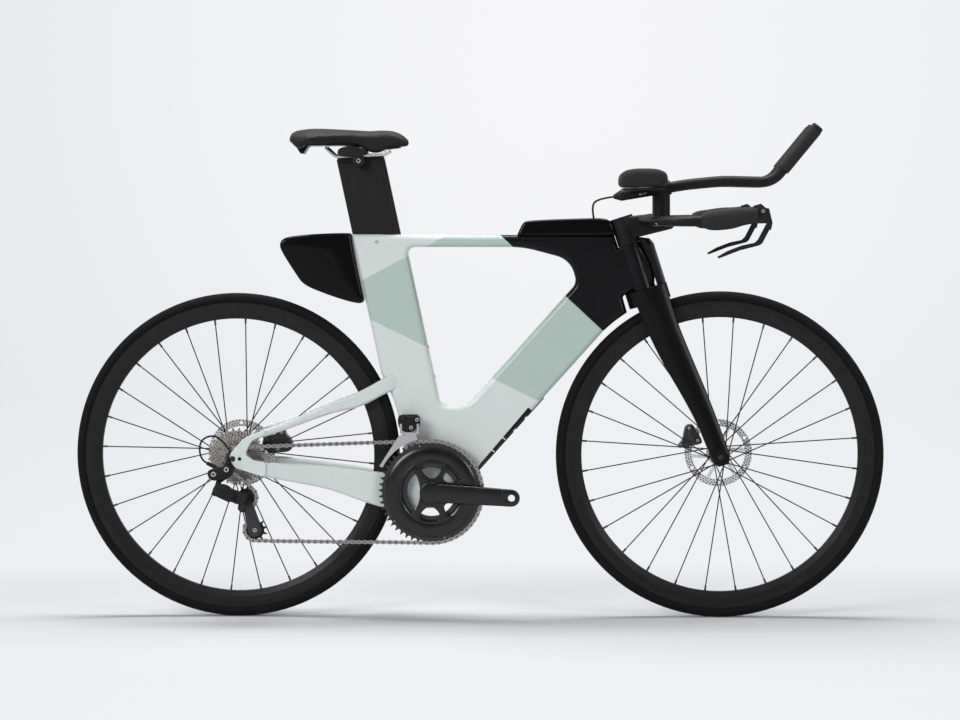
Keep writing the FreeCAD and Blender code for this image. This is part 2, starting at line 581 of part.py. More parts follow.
def post_and_clamp():
    post = post_prism(post_base.z - s.post_insertion + s.touch_gap, post_top)
    grooves = [rail(side, s.seat_gap) for side in (RIGHT, LEFT)]
    bore = rod(clamp_bolt - bolt_reach * 2, clamp_bolt + bolt_reach * 2, s.clamp_bolt_radius + s.seat_gap)
    post = post.cut([bore] + grooves).Solids[0]
    blocks = []
    for side in (RIGHT, LEFT):
        y = side * s.rail_spacing / 2 - s.clamp_width / 2
        block = Part.makeBox(s.clamp_length, s.clamp_width, s.rail_rise + s.clamp_height + s.clamp_head_radius)
        block.translate(Vector(clamp_bolt.x - s.clamp_length / 2, y, clamp_bolt.z - s.clamp_head_radius))
        block = block.makeChamfer(s.clamp_width / 4, flat_edges(block))
        head = rod(clamp_bolt + bolt_reach * side,
                   clamp_bolt + bolt_reach * side + Vector(0, side * s.clamp_head_height, 0),
                   s.clamp_head_radius)
        blocks += [block.cut(grooves), head]
    bolt = rod(clamp_bolt - bolt_reach, clamp_bolt + bolt_reach, s.clamp_bolt_radius)
    clamp = bolt.fuse(blocks).cut(post)
    return post, clamp


post, clamp = post_and_clamp()
node("seatpost", post)
node("saddle_clamp", clamp)
node("saddle_rails", Part.Compound([rail(RIGHT), rail(LEFT)]))


def saddle_section(x_share, half, crown, side, under):
    """A crowned section with drawn-in sides."""
    x = saddle_tail + x_share * s.saddle_length
    half_width = half * s.saddle_width
    top = saddle_top - crown * s.saddle_length
    edge = saddle_top - side * s.saddle_length
    floor = saddle_top - under * s.saddle_length
    tuck = half_width * TUCK_SHARE
    a, b = Vector(x, -half_width, edge), Vector(x, half_width, edge)
    c, d = Vector(x, tuck, floor), Vector(x, -tuck, floor)
    out = (half_width - tuck) / 4
    bulge_right = Vector(x, -(half_width + tuck) / 2 - out, (edge + floor) / 2)
    bulge_left = Vector(x, (half_width + tuck) / 2 + out, (edge + floor) / 2)
    return Part.Wire([Part.Arc(a, Vector(x, 0, top), b).toShape(), Part.Arc(b, bulge_left, c).toShape(),
                      Part.makeLine(c, d), Part.Arc(d, bulge_right, a).toShape()])


def saddle_pad():
    pad = loft([saddle_section(*row) for row in smooth_rows(SADDLE_SHARES)])
    level = saddle_top + s.saddle_channel_radius - s.saddle_channel_depth
    channel = rod(Vector(saddle_front - s.saddle_length * CHANNEL_SHARE, 0, level),
                  Vector(saddle_front + s.overrun, 0, level), s.saddle_channel_radius)
    return pad.cut(channel).Solids[0]


def saddle_shell():
    """A thin base that follows the pad's underside, with a hook under the tail."""
    wires = []
    for x_share, half, crown, side, under in smooth_rows(SADDLE_SHARES[1:-1]):
        floor = saddle_top - under * s.saddle_length - s.seat_gap
        x = saddle_tail + x_share * s.saddle_length
        wide, narrow = (share * half * s.saddle_width for share in SHELL_SHARES)
        low = floor - s.shell_thickness
        wires.append(Part.makePolygon([Vector(x, -wide, floor), Vector(x, wide, floor), Vector(x, narrow, low),
                                       Vector(x, -narrow, low), Vector(x, -wide, floor)]))
    base = loft(wires)
    corners = [(Vector(saddle_tail + x * s.saddle_length, 0, saddle_top - drop * s.saddle_length),
                radius * s.saddle_length) for x, drop, radius in HOOK_SHARES]
    hook = slab(outline(corners), -s.hook_width / 2, s.hook_width)
    return base.fuse(hook)


pad = node("saddle_pad", saddle_pad())
node("saddle_shell", max(saddle_shell().cut(pad).Solids, key=lambda piece: piece.Volume))

# Storage boxes behind the seat tube and on the top tube
REAR_BOX_SHARES = ((-0.6016, 0.974, 0.02), (-0.5087, 0.814, 0.06), (-0.3097, 0.728, 0.03))
BOX_FOOT_SHARE = 0.73
BOX_TOP_SHARE = 0.999
BOX_SHOULDER_SHARES = (-0.4808, 1.0, 0.2)


def rear_storage_box():
    top_level = bb.z + BOX_TOP_SHARE * s.frame_rise
    foot_level = bb.z + BOX_FOOT_SHARE * s.frame_rise
    top = Vector(frame_back(top_level) - s.rear_box_gap, 0, top_level)
    foot = Vector(frame_back(foot_level) - s.rear_box_gap, 0, foot_level)
    corners = [(foot, 0), (top, 0)]
    corners += [(frame_point(*BOX_SHOULDER_SHARES[:2]), BOX_SHOULDER_SHARES[2] * s.frame_rise)]
    corners += [(frame_point(x, z), radius * s.frame_rise) for x, z, radius in REAR_BOX_SHARES]
    box = slab(outline(corners), -s.rear_box_width / 2, s.rear_box_width)
    return box.makeFillet(s.rear_box_edge_radius, flat_edges(box))


node("rear_storage_box", rear_storage_box())
TOP_BOX_SHARES = ((0.4599, 0.0, 0), (0.5122, 0.83, 0.3), (0.5568, 0.9, 0.5), (0.9536, 1.06, 0.1),
                  (1.0151, 0.0, 0))


def box_level(x):
    """Height of the top tube box's lid at a place along it."""
    (back, low, _), (front, high, _) = TOP_BOX_SHARES[2:4]
    ends = frame_point(back, 0).x, frame_point(front, 0).x
    rise = low + (high - low) * (x - ends[0]) / (ends[1] - ends[0])
    return frame_top(x) + s.top_box_gap + rise * s.top_box_height


def top_tube_box():
    corners = []
    for x_share, rise, radius in TOP_BOX_SHARES:
        x = frame_point(x_share, 0).x
        level = frame_top(x) + s.top_box_gap + rise * s.top_box_height
        corners.append((Vector(x, 0, level), radius * s.top_box_height))
    box = slab(outline(corners), -s.top_box_width / 2, s.top_box_width)
    upper = [edge for edge in flat_edges(box) if edge.BoundBox.ZMin > corners[0][0].z + s.top_box_height / 2]
    box = box.makeFillet(s.top_box_edge_radius, upper)
    swing = rod(steer(0, s.crown_level), steer(0, s.bar_hub_top + s.overrun), s.bar_hub_radius + s.bar_hub_gap)
    return box.cut(swing).Solids[0]


node("top_tube_box", top_tube_box())

# Fork: two lofted blades under a round crown, with the steerer on top
BLADE_SHARES = (
    (0.997, 0.026, 0.0935, 0.2478, 0.0885), (0.914, 0.028, 0.0927, 0.2602, 0.0912),
    (0.745, 0.0376, 0.086, 0.2743, 0.0867), (0.573, 0.0578, 0.0793, 0.3053, 0.0823),
    (0.368, 0.09, 0.0659, 0.3673, 0.0752), (0.183, 0.1116, 0.0551, 0.4425, 0.0619),
    (0.008, 0.1223, 0.0484, 0.5000, 0.0496), (-0.046, 0.1237, 0.0296, 0.5000, 0.0425))


def fork():
    sections = []
    spread = s.fork_spacing + s.tip_thickness
    for level, out, half_depth, side, half_width in smooth_rows(BLADE_SHARES):
        centre = steer(out * s.crown_level, level * s.crown_level, -side * spread)
        sections.append(oval(centre, steer_out, Vector(0, 1, 0), half_depth * s.crown_level, half_width * spread))
    blade = loft(sections)
    inner = front_hub - Vector(0, s.fork_spacing / 2, 0)
    tip = rod(inner, inner - Vector(0, s.tip_thickness, 0), s.tip_radius)
    top = s.crown_level - s.crown_gap
    crown = rod(steer(0, s.crown_level - s.crown_height), steer(0, top), s.crown_radius)
    lip = Part.makeBox(s.nose_outer_radius, s.nose_lip_width, s.crown_height - s.crown_gap)
    lip.translate(Vector(0, -s.nose_lip_width / 2, s.crown_level - s.crown_height))
    lip.Placement = steer_frame * lip.Placement
    steerer = rod(steer(0, top - s.overrun), steer(0, s.bar_hub_top - s.overrun), s.steerer_radius)
    axle_reach = Vector(0, s.fork_spacing, 0)
    axle_hole = rod(front_hub - axle_reach, front_hub + axle_reach, s.axle_radius + s.seat_gap)
    room = rod(inner, front_hub, s.hub_room)
    half = blade.cut(room).fuse(tip).cut(axle_hole)
    head = crown.fuse([lip, steerer]).removeSplitter()
    return head.fuse([half, mirrored(half)]).Solids[0]


fork_shape = node("fork", fork())

# Nose piece: a strap in front of the head tube, turning with the fork
nose = new_body("nose_piece", steer_frame)
nose_turning = nose.newObject("PartDesign::Revolution", "nose_turning")
nose_turning.Profile = profile(nose, "XZ_Plane", (
    ("nose_inner_radius", "crown_level"), ("nose_outer_radius", "crown_level"),
    ("nose_outer_radius", "head_top_level - nose_slope"),
    ("nose_outer_radius - nose_slope / 2", "head_top_level"),
    ("bar_hub_radius + touch_gap", "head_top_level + 2 * nose_hook"),
    ("bar_hub_radius + touch_gap", "head_top_level + nose_gap"),
    ("nose_top_radius", "head_top_level + nose_gap"), ("nose_inner_radius", "nose_bend_level")))
nose_turning.ReferenceAxis = (nose_turning.Profile[0], ["V_Axis"])
nose_turning.setExpression("Angle", bound("nose_angle"))
nose_turning.Midplane = True
doc.recompute()
node("nose_piece", nose)

# Base bar: a round hub on the steerer, a stem and two swept wings
STEM_SHARES = ((-0.02, 1.0, 0), (0.42, 1.13, 0), (0.72, 0.92, 0.25), (0.7, 0.58, 0.25), (0.2, 0.24, 0.3),
               (0.0, 0.2, 0))
WING_SHARES = ((0.0, 0.0, 1.35, 1.4, 0), (0.10, 0.01, 1.15, 1.1, 2), (0.25, 0.07, 1.0, 0.95, 6),
               (0.38, 0.19, 0.86, 0.95, 22), (0.465, 0.45, 0.68, 1.0, 55), (0.497, 0.77, 0.48, 1.03, 80),
               (0.5, 1.0, 0.43, 1.05, 90))
WING_START_SHARE = 0.436
hub_foot = steer(0, s.head_top_level + s.bar_hub_gap)
hub_head = steer(0, s.bar_hub_top)
bar_level = hub_head.z - s.bar_drop
bar_end = hub_head.x + s.bar_reach


def base_bar():
    hub = rod(hub_foot, hub_head, s.bar_hub_radius)
    start = hub_head.x + WING_START_SHARE * s.bar_reach
    tall = hub_head.z - hub_foot.z
    corners = [(Vector(hub_head.x + x * s.bar_reach, 0, hub_foot.z + z * tall), radius * s.stem_width)
               for x, z, radius in STEM_SHARES]
    stem = slab(outline(corners), -s.stem_width / 2, s.stem_width)
    stem = stem.makeFillet(s.stem_edge_radius, flat_edges(stem))
    sections = []
    for side, forward, chord, thick, heading in smooth_rows(WING_SHARES):
        turn = math.radians(heading)
        centre = Vector(start + forward * (bar_end - start), -side * s.bar_width, bar_level)
        across = Vector(math.cos(turn), math.sin(turn), 0)
        sections.append(oval(centre, across, Vector(0, 0, 1), chord * s.bar_chord / 2,
                             thick * s.bar_thickness / 2))
    wing = loft(sections)
    bore = rod(hub_foot - steer_up * s.overrun, hub_head - steer_up * (s.overrun - s.touch_gap),
               s.steerer_radius + s.seat_gap)
    return hub.fuse([stem, wing, mirrored(wing)]).cut(bore).Solids[0]


bar = node("base_bar", base_bar())

# Extensions: bent tubes with ribbed grips, a plug at each tip and a tapered tail
EXTENSION_SHARES = ((0.0, 0.0), (0.3427, 0.1648), (0.5217, 0.2146), (0.7775, 0.1916), (1.0, 1.0))
EXTENSION_BEND_SHARES = (1.02, 0.767, 0.123)
tail_spot = Vector(hub_head.x, -s.extension_spacing / 2, bar_level + s.extension_lift)
ext = [tail_spot + Vector(x * s.extension_length, 0, z * s.extension_rise) for x, z in EXTENSION_SHARES]
extension_bends = [share * s.extension_length for share in EXTENSION_BEND_SHARES]
tip_way = (ext[-1] - ext[-2]).normalize()
tail_way = (ext[0] - ext[1]).normalize()
extension = pipe(ext, extension_bends, s.extension_radius)
node("extensions", pair(extension))


def extension_grip():
    """A sleeve over the upturned end, with a slightly thicker front."""
    start = ext[-1] - tip_way * s.grip_length
    bore = s.extension_radius + s.seat_gap
    return tube_ring(start, ext[-1], bore + s.grip_wall, bore)


def extension_plugs():
    plug = rod(ext[-1] + tip_way * s.seat_gap, ext[-1] + tip_way * s.plug_length, s.plug_radius)
    plug = plug.makeChamfer(s.plug_length / 4, flat_edges(plug, tip_way)[:1])
    tail = Part.makeCone(s.extension_radius, s.tail_radius, s.tail_length, ext[0] + tail_way * s.seat_gap,
                         tail_way)
    return Part.Compound([plug, tail, mirrored(plug), mirrored(tail)])


node("extension_grips", pair(extension_grip()))
node("extension_plugs", extension_plugs())


# Risers carry the extensions, and cups beside them carry the arm pads
def extension_level(x):
    return ext[0].z + (ext[1].z - ext[0].z) * (x - ext[0].x) / (ext[1].x - ext[0].x)


def riser():
    y = -s.extension_spacing / 2
    x = hub_head.x + s.riser_reach
    foot = Vector(x, y, bar_level)
    head = Vector(x, y, extension_level(x))
    along, across = Vector(1, 0, 0), Vector(0, 1, 0)
    column = Part.Face(oval(foot, along, across, s.riser_length / 2, s.riser_width / 2)).extrude(head - foot)
    half_ring = tail_way * (s.clamp_ring_length / 2)
    ring = rod(head - half_ring, head + half_ring, s.clamp_ring_radius)
    room = rod(ext[0] + tail_way * s.overrun, ext[1], s.extension_radius + s.seat_gap)
    return column.fuse(ring).cut([room, bar]).Solids[-1]


def arm_cup():
    """A tray beside the extension, with a shelf that reaches the riser's clamp."""
    y = -s.extension_spacing / 2 - s.clamp_ring_radius - s.touch_gap
    tray = Part.makeBox(s.cup_length, s.cup_width, s.cup_thickness)
    tray.translate(Vector(hub_head.x + s.cup_reach - s.cup_length / 2, y - s.cup_width, bar_level + s.cup_rise))
    upright = [edge for edge in tray.Edges if edge.BoundBox.ZLength > s.cup_thickness / 2]
    return tray.makeFillet(s.cup_width / 4, upright)


node("extension_risers", pair(riser()))
node("arm_cups", pair(arm_cup()))
PAD_CORNER_SHARE = 0.36
PAD_OFFSET_SHARE = 0.54
PAD_LEVEL_SHARES = ((0.0, 0.9), (0.18, 1.0), (0.5, 1.0), (0.82, 0.92), (1.0, 0.66))


def arm_pad():
    """A crowned cushion with drawn-in sides and a shallow dish for the forearm."""
    x = hub_head.x + s.cup_reach
    y = -s.extension_spacing / 2 - s.clamp_ring_radius - s.touch_gap - PAD_OFFSET_SHARE * s.pad_width
    floor = bar_level + s.cup_rise + s.cup_thickness + s.touch_gap
    wires = []
    for level, size in smooth_rows(PAD_LEVEL_SHARES):
        half_x, half_y = size * s.pad_length / 2, size * s.pad_width / 2
        centre = Vector(x, y, floor + level * s.arm_pad_height)
        corners = [(centre + Vector(i * half_x, j * half_y, 0), size * s.pad_width * PAD_CORNER_SHARE)
                   for i, j in ((1, 1), (-1, 1), (-1, -1), (1, -1))]
        wires.append(outline(corners))
    cushion = loft(wires)
    axis = floor + s.arm_pad_height + s.pad_dish_radius - s.pad_dish_depth
    dish = rod(Vector(x - s.pad_length, y, axis), Vector(x + s.pad_length, y, axis), s.pad_dish_radius)
    return cushion.cut(dish).Solids[0]


node("arm_pads", pair(arm_pad()))

# Base bar grips with lever bodies, and the brake levers pinned to them
GRIP_SHARES = ((0.0, 0.10, 0.55, 0.86), (0.11, 0.05, 0.84, 0.96), (0.28, 0.07, 0.95, 1.03), (0.55, 0.24, 0.98, 1.03),
               (0.78, 0.43, 0.83, 0.96), (1.0, 0.57, 0.8, 0.88))
LEVER_BODY_SHARES = ((0.95, -0.25, 0), (1.155, -0.25, 0.08), (1.155, 1.15, 0.1), (1.06, 1.6, 0.12), (0.93, 1.4, 0.1))
LEVER_EAR_SHARES = ((1.05, 1.05, 0), (1.09, 1.25, 0.06), (1.2, 1.15, 0.06), (1.262, -0.2, 0.06),
                    (1.235, -0.85, 0.05), (1.14, -0.85, 0), (1.17, -0.35, 0.06), (1.06, 0.75, 0))
LEVER_BLADE_SHARES = ((1.262, -0.2, 0.06), (1.21, -0.85, 0.1), (1.085, -2.1, 0.1), (1.03, -2.3, 0.1),
                      (0.69, -2.75, 0.3), (0.31, -3.5, 0.03), (0.285, -3.35, 0.02), (0.47, -2.8, 0.1),
                      (0.72, -2.3, 0.2), (0.95, -2.05, 0.06), (1.01, -1.75, 0.06), (1.15, -0.35, 0))
PIVOT_SHARES = (1.095, 0.9)
GRIP_LENGTH_SHARE = 0.278
GRIP_WIDTH_SHARE = 0.7


def grip_spot(x_share, z_share):
    """A point of the grip in shares of its length and of the bar's thickness."""
    length = GRIP_LENGTH_SHARE * s.bar_width
    return Vector(bar_end + s.grip_gap + x_share * length, -s.bar_width / 2, bar_level + z_share * s.bar_thickness)


pivot = grip_spot(*PIVOT_SHARES)
side_way = Vector(0, 1, 0)


def bar_grip():
    sections = []
    for x_share, rise, tall, wide in smooth_rows(GRIP_SHARES):
        sections.append(oval(grip_spot(x_share, rise), side_way, Vector(0, 0, 1), wide * s.bar_thickness * GRIP_WIDTH_SHARE,
                             tall * s.bar_thickness))
    hood = loft(sections)
    corners = [(grip_spot(x, z), radius * s.bar_thickness) for x, z, radius in LEVER_BODY_SHARES]
    body = slab(outline(corners), -s.lever_body_width / 2, s.lever_body_width)
    hole = rod(pivot - side_way * s.bar_thickness, pivot + side_way * s.bar_thickness,
               s.lever_pin_radius + s.running_gap)
    return hood.fuse(body).cut(hole).Solids[0]


def brake_lever():
    half_gap = s.lever_body_width / 2 + s.touch_gap
    ear = outline([(grip_spot(x, z), radius * s.bar_thickness) for x, z, radius in LEVER_EAR_SHARES])
    ears = [slab(ear, half_gap, s.lever_ear), slab(ear, -half_gap - s.lever_ear, s.lever_ear)]
    blade = slab(outline([(grip_spot(x, z), radius * s.bar_thickness) for x, z, radius in LEVER_BLADE_SHARES]),
                 -s.lever_width / 2, s.lever_width)
    low = grip_spot(LEVER_EAR_SHARES[4][0], LEVER_EAR_SHARES[4][1])
    high = grip_spot(LEVER_EAR_SHARES[6][0], LEVER_EAR_SHARES[6][1])
    bridge = Part.makeBox(low.x - high.x, 2 * (half_gap + s.lever_ear), high.z - low.z)
    bridge.translate(Vector(high.x, low.y - half_gap - s.lever_ear, low.z))
    pin_reach = side_way * (half_gap + s.lever_ear)
    pin = rod(pivot - pin_reach, pivot + pin_reach, s.lever_pin_radius)
    return pin.fuse(ears + [blade, bridge]).Solids[0]


node("bar_grips", pair(bar_grip()))
lever = brake_lever()
node("right_brake_lever", lever)
node("left_brake_lever", mirrored(lever))


# Wheels
def hub_profile(right_end, right_flange, left_flange, rotor_place, left_end):
    """Corners of a hub from its right end to its left end, with its bore."""
    half_flange, half_rotor = "flange_thickness / 2", "rotor_thickness / 2"
    bore = "axle_radius + running_gap"
    return (("-" + right_end, bore), ("-" + right_end, "barrel_radius"),
            (f"-{right_flange} - {half_flange}", "barrel_radius"),
            (f"-{right_flange} - {half_flange}", "flange_radius"),
            (f"-{right_flange} + {half_flange}", "flange_radius"),
            (f"-{right_flange} + {half_flange}", "barrel_radius"),
            (f"{left_flange} - {half_flange}", "barrel_radius"),
            (f"{left_flange} - {half_flange}", "flange_radius"),
            (f"{left_flange} + {half_flange}", "flange_radius"),
            (f"{left_flange} + {half_flange}", "barrel_radius"),
            (f"{rotor_place} - {half_rotor}", "barrel_radius"),
            (f"{rotor_place} - {half_rotor}", "rotor_seat_radius"),
            (f"{rotor_place} + {half_rotor}", "rotor_seat_radius"),
            (f"{rotor_place} + {half_rotor}", "barrel_radius"),
            (left_end, "barrel_radius"), (left_end, bore))


RIM_PROFILE = (("rim_width / 2", "rim_radius"), ("rim_width / 2", "rim_radius - rim_track"),
               ("rim_width / 2 - rim_belly", "rim_radius - 2 * rim_track"), ("rim_nose / 2", "rim_inner_radius"),
               ("-rim_nose / 2", "rim_inner_radius"),
               ("-rim_width / 2 + rim_belly", "rim_radius - 2 * rim_track"),
               ("-rim_width / 2", "rim_radius - rim_track"), ("-rim_width / 2", "rim_radius"),
               ("-rim_width / 2 + rim_flange", "rim_radius"),
               ("-rim_width / 2 + rim_flange", "rim_radius - rim_well"),
               ("rim_width / 2 - rim_flange", "rim_radius - rim_well"),
               ("rim_width / 2 - rim_flange", "rim_radius"))


def tyre(hub):
    """A tyre with a round crown and straight side walls, seated between the flanges of its rim."""
    half = s.tyre_width / 2
    middle = s.wheel_radius - half
    bead = s.rim_width / 2 - s.rim_flange - s.seat_gap
    floor = s.rim_radius - s.rim_well + s.seat_gap
    lip = s.rim_radius + s.seat_gap
    right, left = Vector(-half, 0, middle), Vector(half, 0, middle)
    corners = [Vector(bead, 0, lip), Vector(bead, 0, floor), Vector(-bead, 0, floor), Vector(-bead, 0, lip)]
    wire = Part.Wire([Part.Arc(right, Vector(0, 0, s.wheel_radius), left).toShape(),
                      Part.makePolygon([left] + corners + [right])])
    ring = Part.Face(wire).revolve(Vector(0, 0, 0), Vector(1, 0, 0), 360)
    ring.Placement = Placement(hub, along_y)
    return ring


def spokes(hub, right_flange, left_flange, turn):
    """Bladed spokes, crossed on both sides, alternately outside and inside their flange."""
    blades = []
    per_side = SPOKES // 2
    step = 360 / per_side
    for side, flange in ((RIGHT, right_flange), (LEFT, left_flange)):
        for index in range(per_side):
            outside = 1 if index % 2 == 0 else -1
            start_angle = turn + index * step + (step / 2 if side == LEFT else 0)
            face = flange + outside * (s.flange_thickness / 2 + s.spoke_thickness / 2 + s.spoke_seat)
            start = around(hub, s.flange_radius - s.spoke_inset, start_angle) + Vector(0, side * face, 0)
            end = around(hub, s.rim_inner_radius - s.nipple_gap, start_angle + outside * CROSSINGS * step)
            end = end + Vector(0, side * s.spoke_dish, 0)
            run = end - start
            wide = run.cross(Vector(0, 1, 0)).normalize()
            blade = Part.makeBox(run.Length, s.spoke_width, s.spoke_thickness)
            blade.translate(Vector(0, -s.spoke_width / 2, -s.spoke_thickness / 2))
            blade.Placement = Placement(start, Rotation(run, wide, run.cross(wide), "XZY")) * blade.Placement
            blades.append(blade)
    return Part.Compound(blades)


def rotor(hub, place):
    """A brake disc: a drilled track, arms and a carrier ring."""
    centre = hub + Vector(0, place - s.rotor_thickness / 2, 0)
    wide = Vector(0, s.rotor_thickness, 0)
    track_inner = s.rotor_radius - s.rotor_track
    carrier_outer = s.rotor_seat_radius + s.rotor_ring
    track = tube_ring(centre, centre + wide, s.rotor_radius, track_inner)
    carrier = tube_ring(centre, centre + wide, carrier_outer, s.rotor_seat_radius)
    overlap = s.rotor_arm / 2
    arms, holes = [], []
    for index in range(ROTOR_ARMS):
        arm = Part.makeBox(track_inner - carrier_outer + 2 * overlap, s.rotor_thickness, s.rotor_arm)
        arm.translate(Vector(carrier_outer - overlap, 0, s.rotor_arm / 2))
        arm.rotate(Vector(0, 0, 0), Vector(0, 1, 0), index * 360 / ROTOR_ARMS)
        arm.translate(centre)
        arms.append(arm)
    for index in range(ROTOR_HOLES):
        spot = around(centre, s.rotor_radius - s.rotor_track / 2, (index + 0.5) * 360 / ROTOR_HOLES)
        holes.append(rod(spot, spot + wide, s.rotor_hole_radius))
    return track.fuse([carrier] + arms).cut(holes).Solids[0]


WHEELS = {
    "front": (front_hub, s.front_right_flange, s.front_left_flange, s.front_spoke_turn, s.front_rotor_place,
              hub_profile("front_hub_end", "front_right_flange", "front_left_flange", "front_rotor_place",
                          "front_hub_end")),
    "rear": (rear_hub, s.rear_right_flange, s.rear_left_flange, s.rear_spoke_turn, s.rear_rotor_place,
             hub_profile("rear_hub_right", "rear_right_flange", "rear_left_flange", "rear_rotor_place",
                         "rear_hub_left"))}

for wheel, (hub, right_flange, left_flange, turn, rotor_place, hub_corners) in WHEELS.items():
    node(wheel + "_rim", turned(wheel + "_rim", RIM_PROFILE, Placement(hub, along_y)))
    node(wheel + "_tyre", tyre(hub))
    node(wheel + "_hub", turned(wheel + "_hub", hub_corners, Placement(hub, along_y)))
    node(wheel + "_spokes", spokes(hub, right_flange, left_flange, turn))
    node(wheel + "_rotor", rotor(hub, rotor_place))

# Axles, with end caps that meet the fork tips or the dropouts
node("front_axle", turned("front_axle", (
    ("-fork_spacing / 2 - tip_thickness / 2", "0"), ("-fork_spacing / 2 - tip_thickness / 2", "axle_radius"),
    ("-fork_spacing / 2", "axle_radius"), ("-fork_spacing / 2", "cap_radius"),
    ("-front_hub_end - touch_gap", "cap_radius"), ("-front_hub_end - touch_gap", "axle_radius"),
    ("front_hub_end + touch_gap", "axle_radius"), ("front_hub_end + touch_gap", "cap_radius"),
    ("fork_spacing / 2", "cap_radius"), ("fork_spacing / 2", "axle_radius"),
    ("fork_spacing / 2 + tip_thickness", "axle_radius"), ("fork_spacing / 2 + tip_thickness", "axle_head_radius"),
    ("fork_spacing / 2 + tip_thickness + axle_head_length", "axle_head_radius"),
    ("fork_spacing / 2 + tip_thickness + axle_head_length", "0")), Placement(front_hub, along_y)))
node("rear_axle", turned("rear_axle", (
    ("-dropout_spacing / 2 - dropout_thickness / 2", "0"),
    ("-dropout_spacing / 2 - dropout_thickness / 2", "axle_radius"),
    ("-dropout_spacing / 2", "axle_radius"), ("-dropout_spacing / 2", "cap_radius"),
    ("-freehub_end - touch_gap", "cap_radius"), ("-freehub_end - touch_gap", "axle_radius"),
    ("rear_hub_left + touch_gap", "axle_radius"), ("rear_hub_left + touch_gap", "cap_radius"),
    ("dropout_spacing / 2", "cap_radius"), ("dropout_spacing / 2", "axle_radius"),
    ("dropout_spacing / 2 + dropout_thickness", "axle_radius"),
    ("dropout_spacing / 2 + dropout_thickness", "axle_head_radius"),
    ("dropout_spacing / 2 + dropout_thickness + axle_head_length", "axle_head_radius"),
    ("dropout_spacing / 2 + dropout_thickness + axle_head_length", "0")), Placement(rear_hub, along_y)))

# Brake calipers: a body over the disc's rim, slotted for it, with two pads inside
FRONT_CALIPER_SHARES = ((-1.22, 0.86, 0.07), (-0.62, 0.86, 0.07), (-0.40, 0.06, 0.07), (-0.96, 0.06, 0.07))
REAR_CALIPER_SHARES = ((0.62, 0.72, 0.07), (1.56, 0.72, 0.07), (1.56, 0.0, 0.07), (1.1, 0.0, 0.07), (0.62, 0.3, 0.07))
PAD_ANGLES = {"front": 150, "rear": 32}


def caliper(hub, place, shares, angle, carriers):
    """The caliper's body and its two pads."""
    corners = [(hub + Vector(x * s.rotor_radius, 0, z * s.rotor_radius), radius * s.rotor_radius)
               for x, z, radius in shares]
    body = slab(outline(corners), place - s.caliper_width / 2, s.caliper_width)
    body = body.makeFillet(s.caliper_edge_radius, flat_edges(body))
    half_slot = Vector(0, s.caliper_slot / 2, 0)
    centre = hub + Vector(0, place, 0)
    slot = rod(centre - half_slot, centre + half_slot, s.rotor_radius + s.caliper_slot_margin)
    pads, pockets = [], []
    spot = around(centre, s.rotor_radius - s.rotor_track / 2, angle)
    for side in (RIGHT, LEFT):
        face = spot + Vector(0, side * (s.rotor_thickness / 2 + s.touch_gap), 0)
        back = face + Vector(0, side * s.brake_pad_thickness, 0)
        pads.append(rod(face, back, s.brake_pad_radius))
        pockets.append(rod(face, back + Vector(0, side * s.seat_gap, 0), s.brake_pad_radius + s.seat_gap))
    return body.cut([slot] + pockets + carriers), Part.Compound(pads)


front_caliper, front_pads = caliper(front_hub, s.front_rotor_place, FRONT_CALIPER_SHARES, PAD_ANGLES["front"],
                                    [fork_shape])
rear_caliper, rear_pads = caliper(rear_hub, s.rear_rotor_place, REAR_CALIPER_SHARES, PAD_ANGLES["rear"],
                                  [left_stays])
node("front_caliper", front_caliper.Solids[0])
node("front_brake_pads", front_pads)
node("rear_caliper", rear_caliper.Solids[0])
node("rear_brake_pads", rear_pads)


# Toothed wheels and the chain
def pitch_radius(teeth):
    return s.chain_pitch / (2 * math.sin(math.pi / teeth))


def toothed(centre, teeth, phase, thickness, bore):
    """A toothed plate whose gaps seat the chain's rollers, with a gap at the phase angle."""
    radius = pitch_radius(teeth)
    root = radius - s.roller_radius - s.root_clearance
    points = []
    for index in range(teeth):
        gap_angle = phase + index * 2 * math.pi / teeth
        tooth_angle = gap_angle + math.pi / teeth
        for angle, level, aside in ((gap_angle, root, -s.root_half_width), (gap_angle, root, s.root_half_width),
                                    (tooth_angle, radius + s.tooth_height, -s.tip_half_width),
                                    (tooth_angle, radius + s.tooth_height, s.tip_half_width)):
            outward = Vector(math.cos(angle), 0, math.sin(angle))
            sideways = Vector(-math.sin(angle), 0, math.cos(angle))
            points.append(centre + outward * level + sideways * aside)
    plate = slab(Part.makePolygon(points + points[:1]), -thickness / 2, thickness)
    half = Vector(0, thickness, 0)
    return plate.cut(rod(centre - half, centre + half, bore))


def chain_wheels(cage_turn):
    """Pitch circles in the order the chain meets them, with the sense of each turn."""
    guide = rear_hub + Vector(s.guide_lead, 0, -s.guide_drop)
    turn = math.radians(cage_turn)
    tension = guide + Vector(s.cage_length * math.sin(turn), 0, -s.cage_length * math.cos(turn))
    return ((bb, pitch_radius(BIG_RING_TEETH), 1), (rear_hub, pitch_radius(SPROCKET_TEETH[0]), 1),
            (guide, pitch_radius(PULLEY_TEETH), -1), (tension, pitch_radius(PULLEY_TEETH), 1))


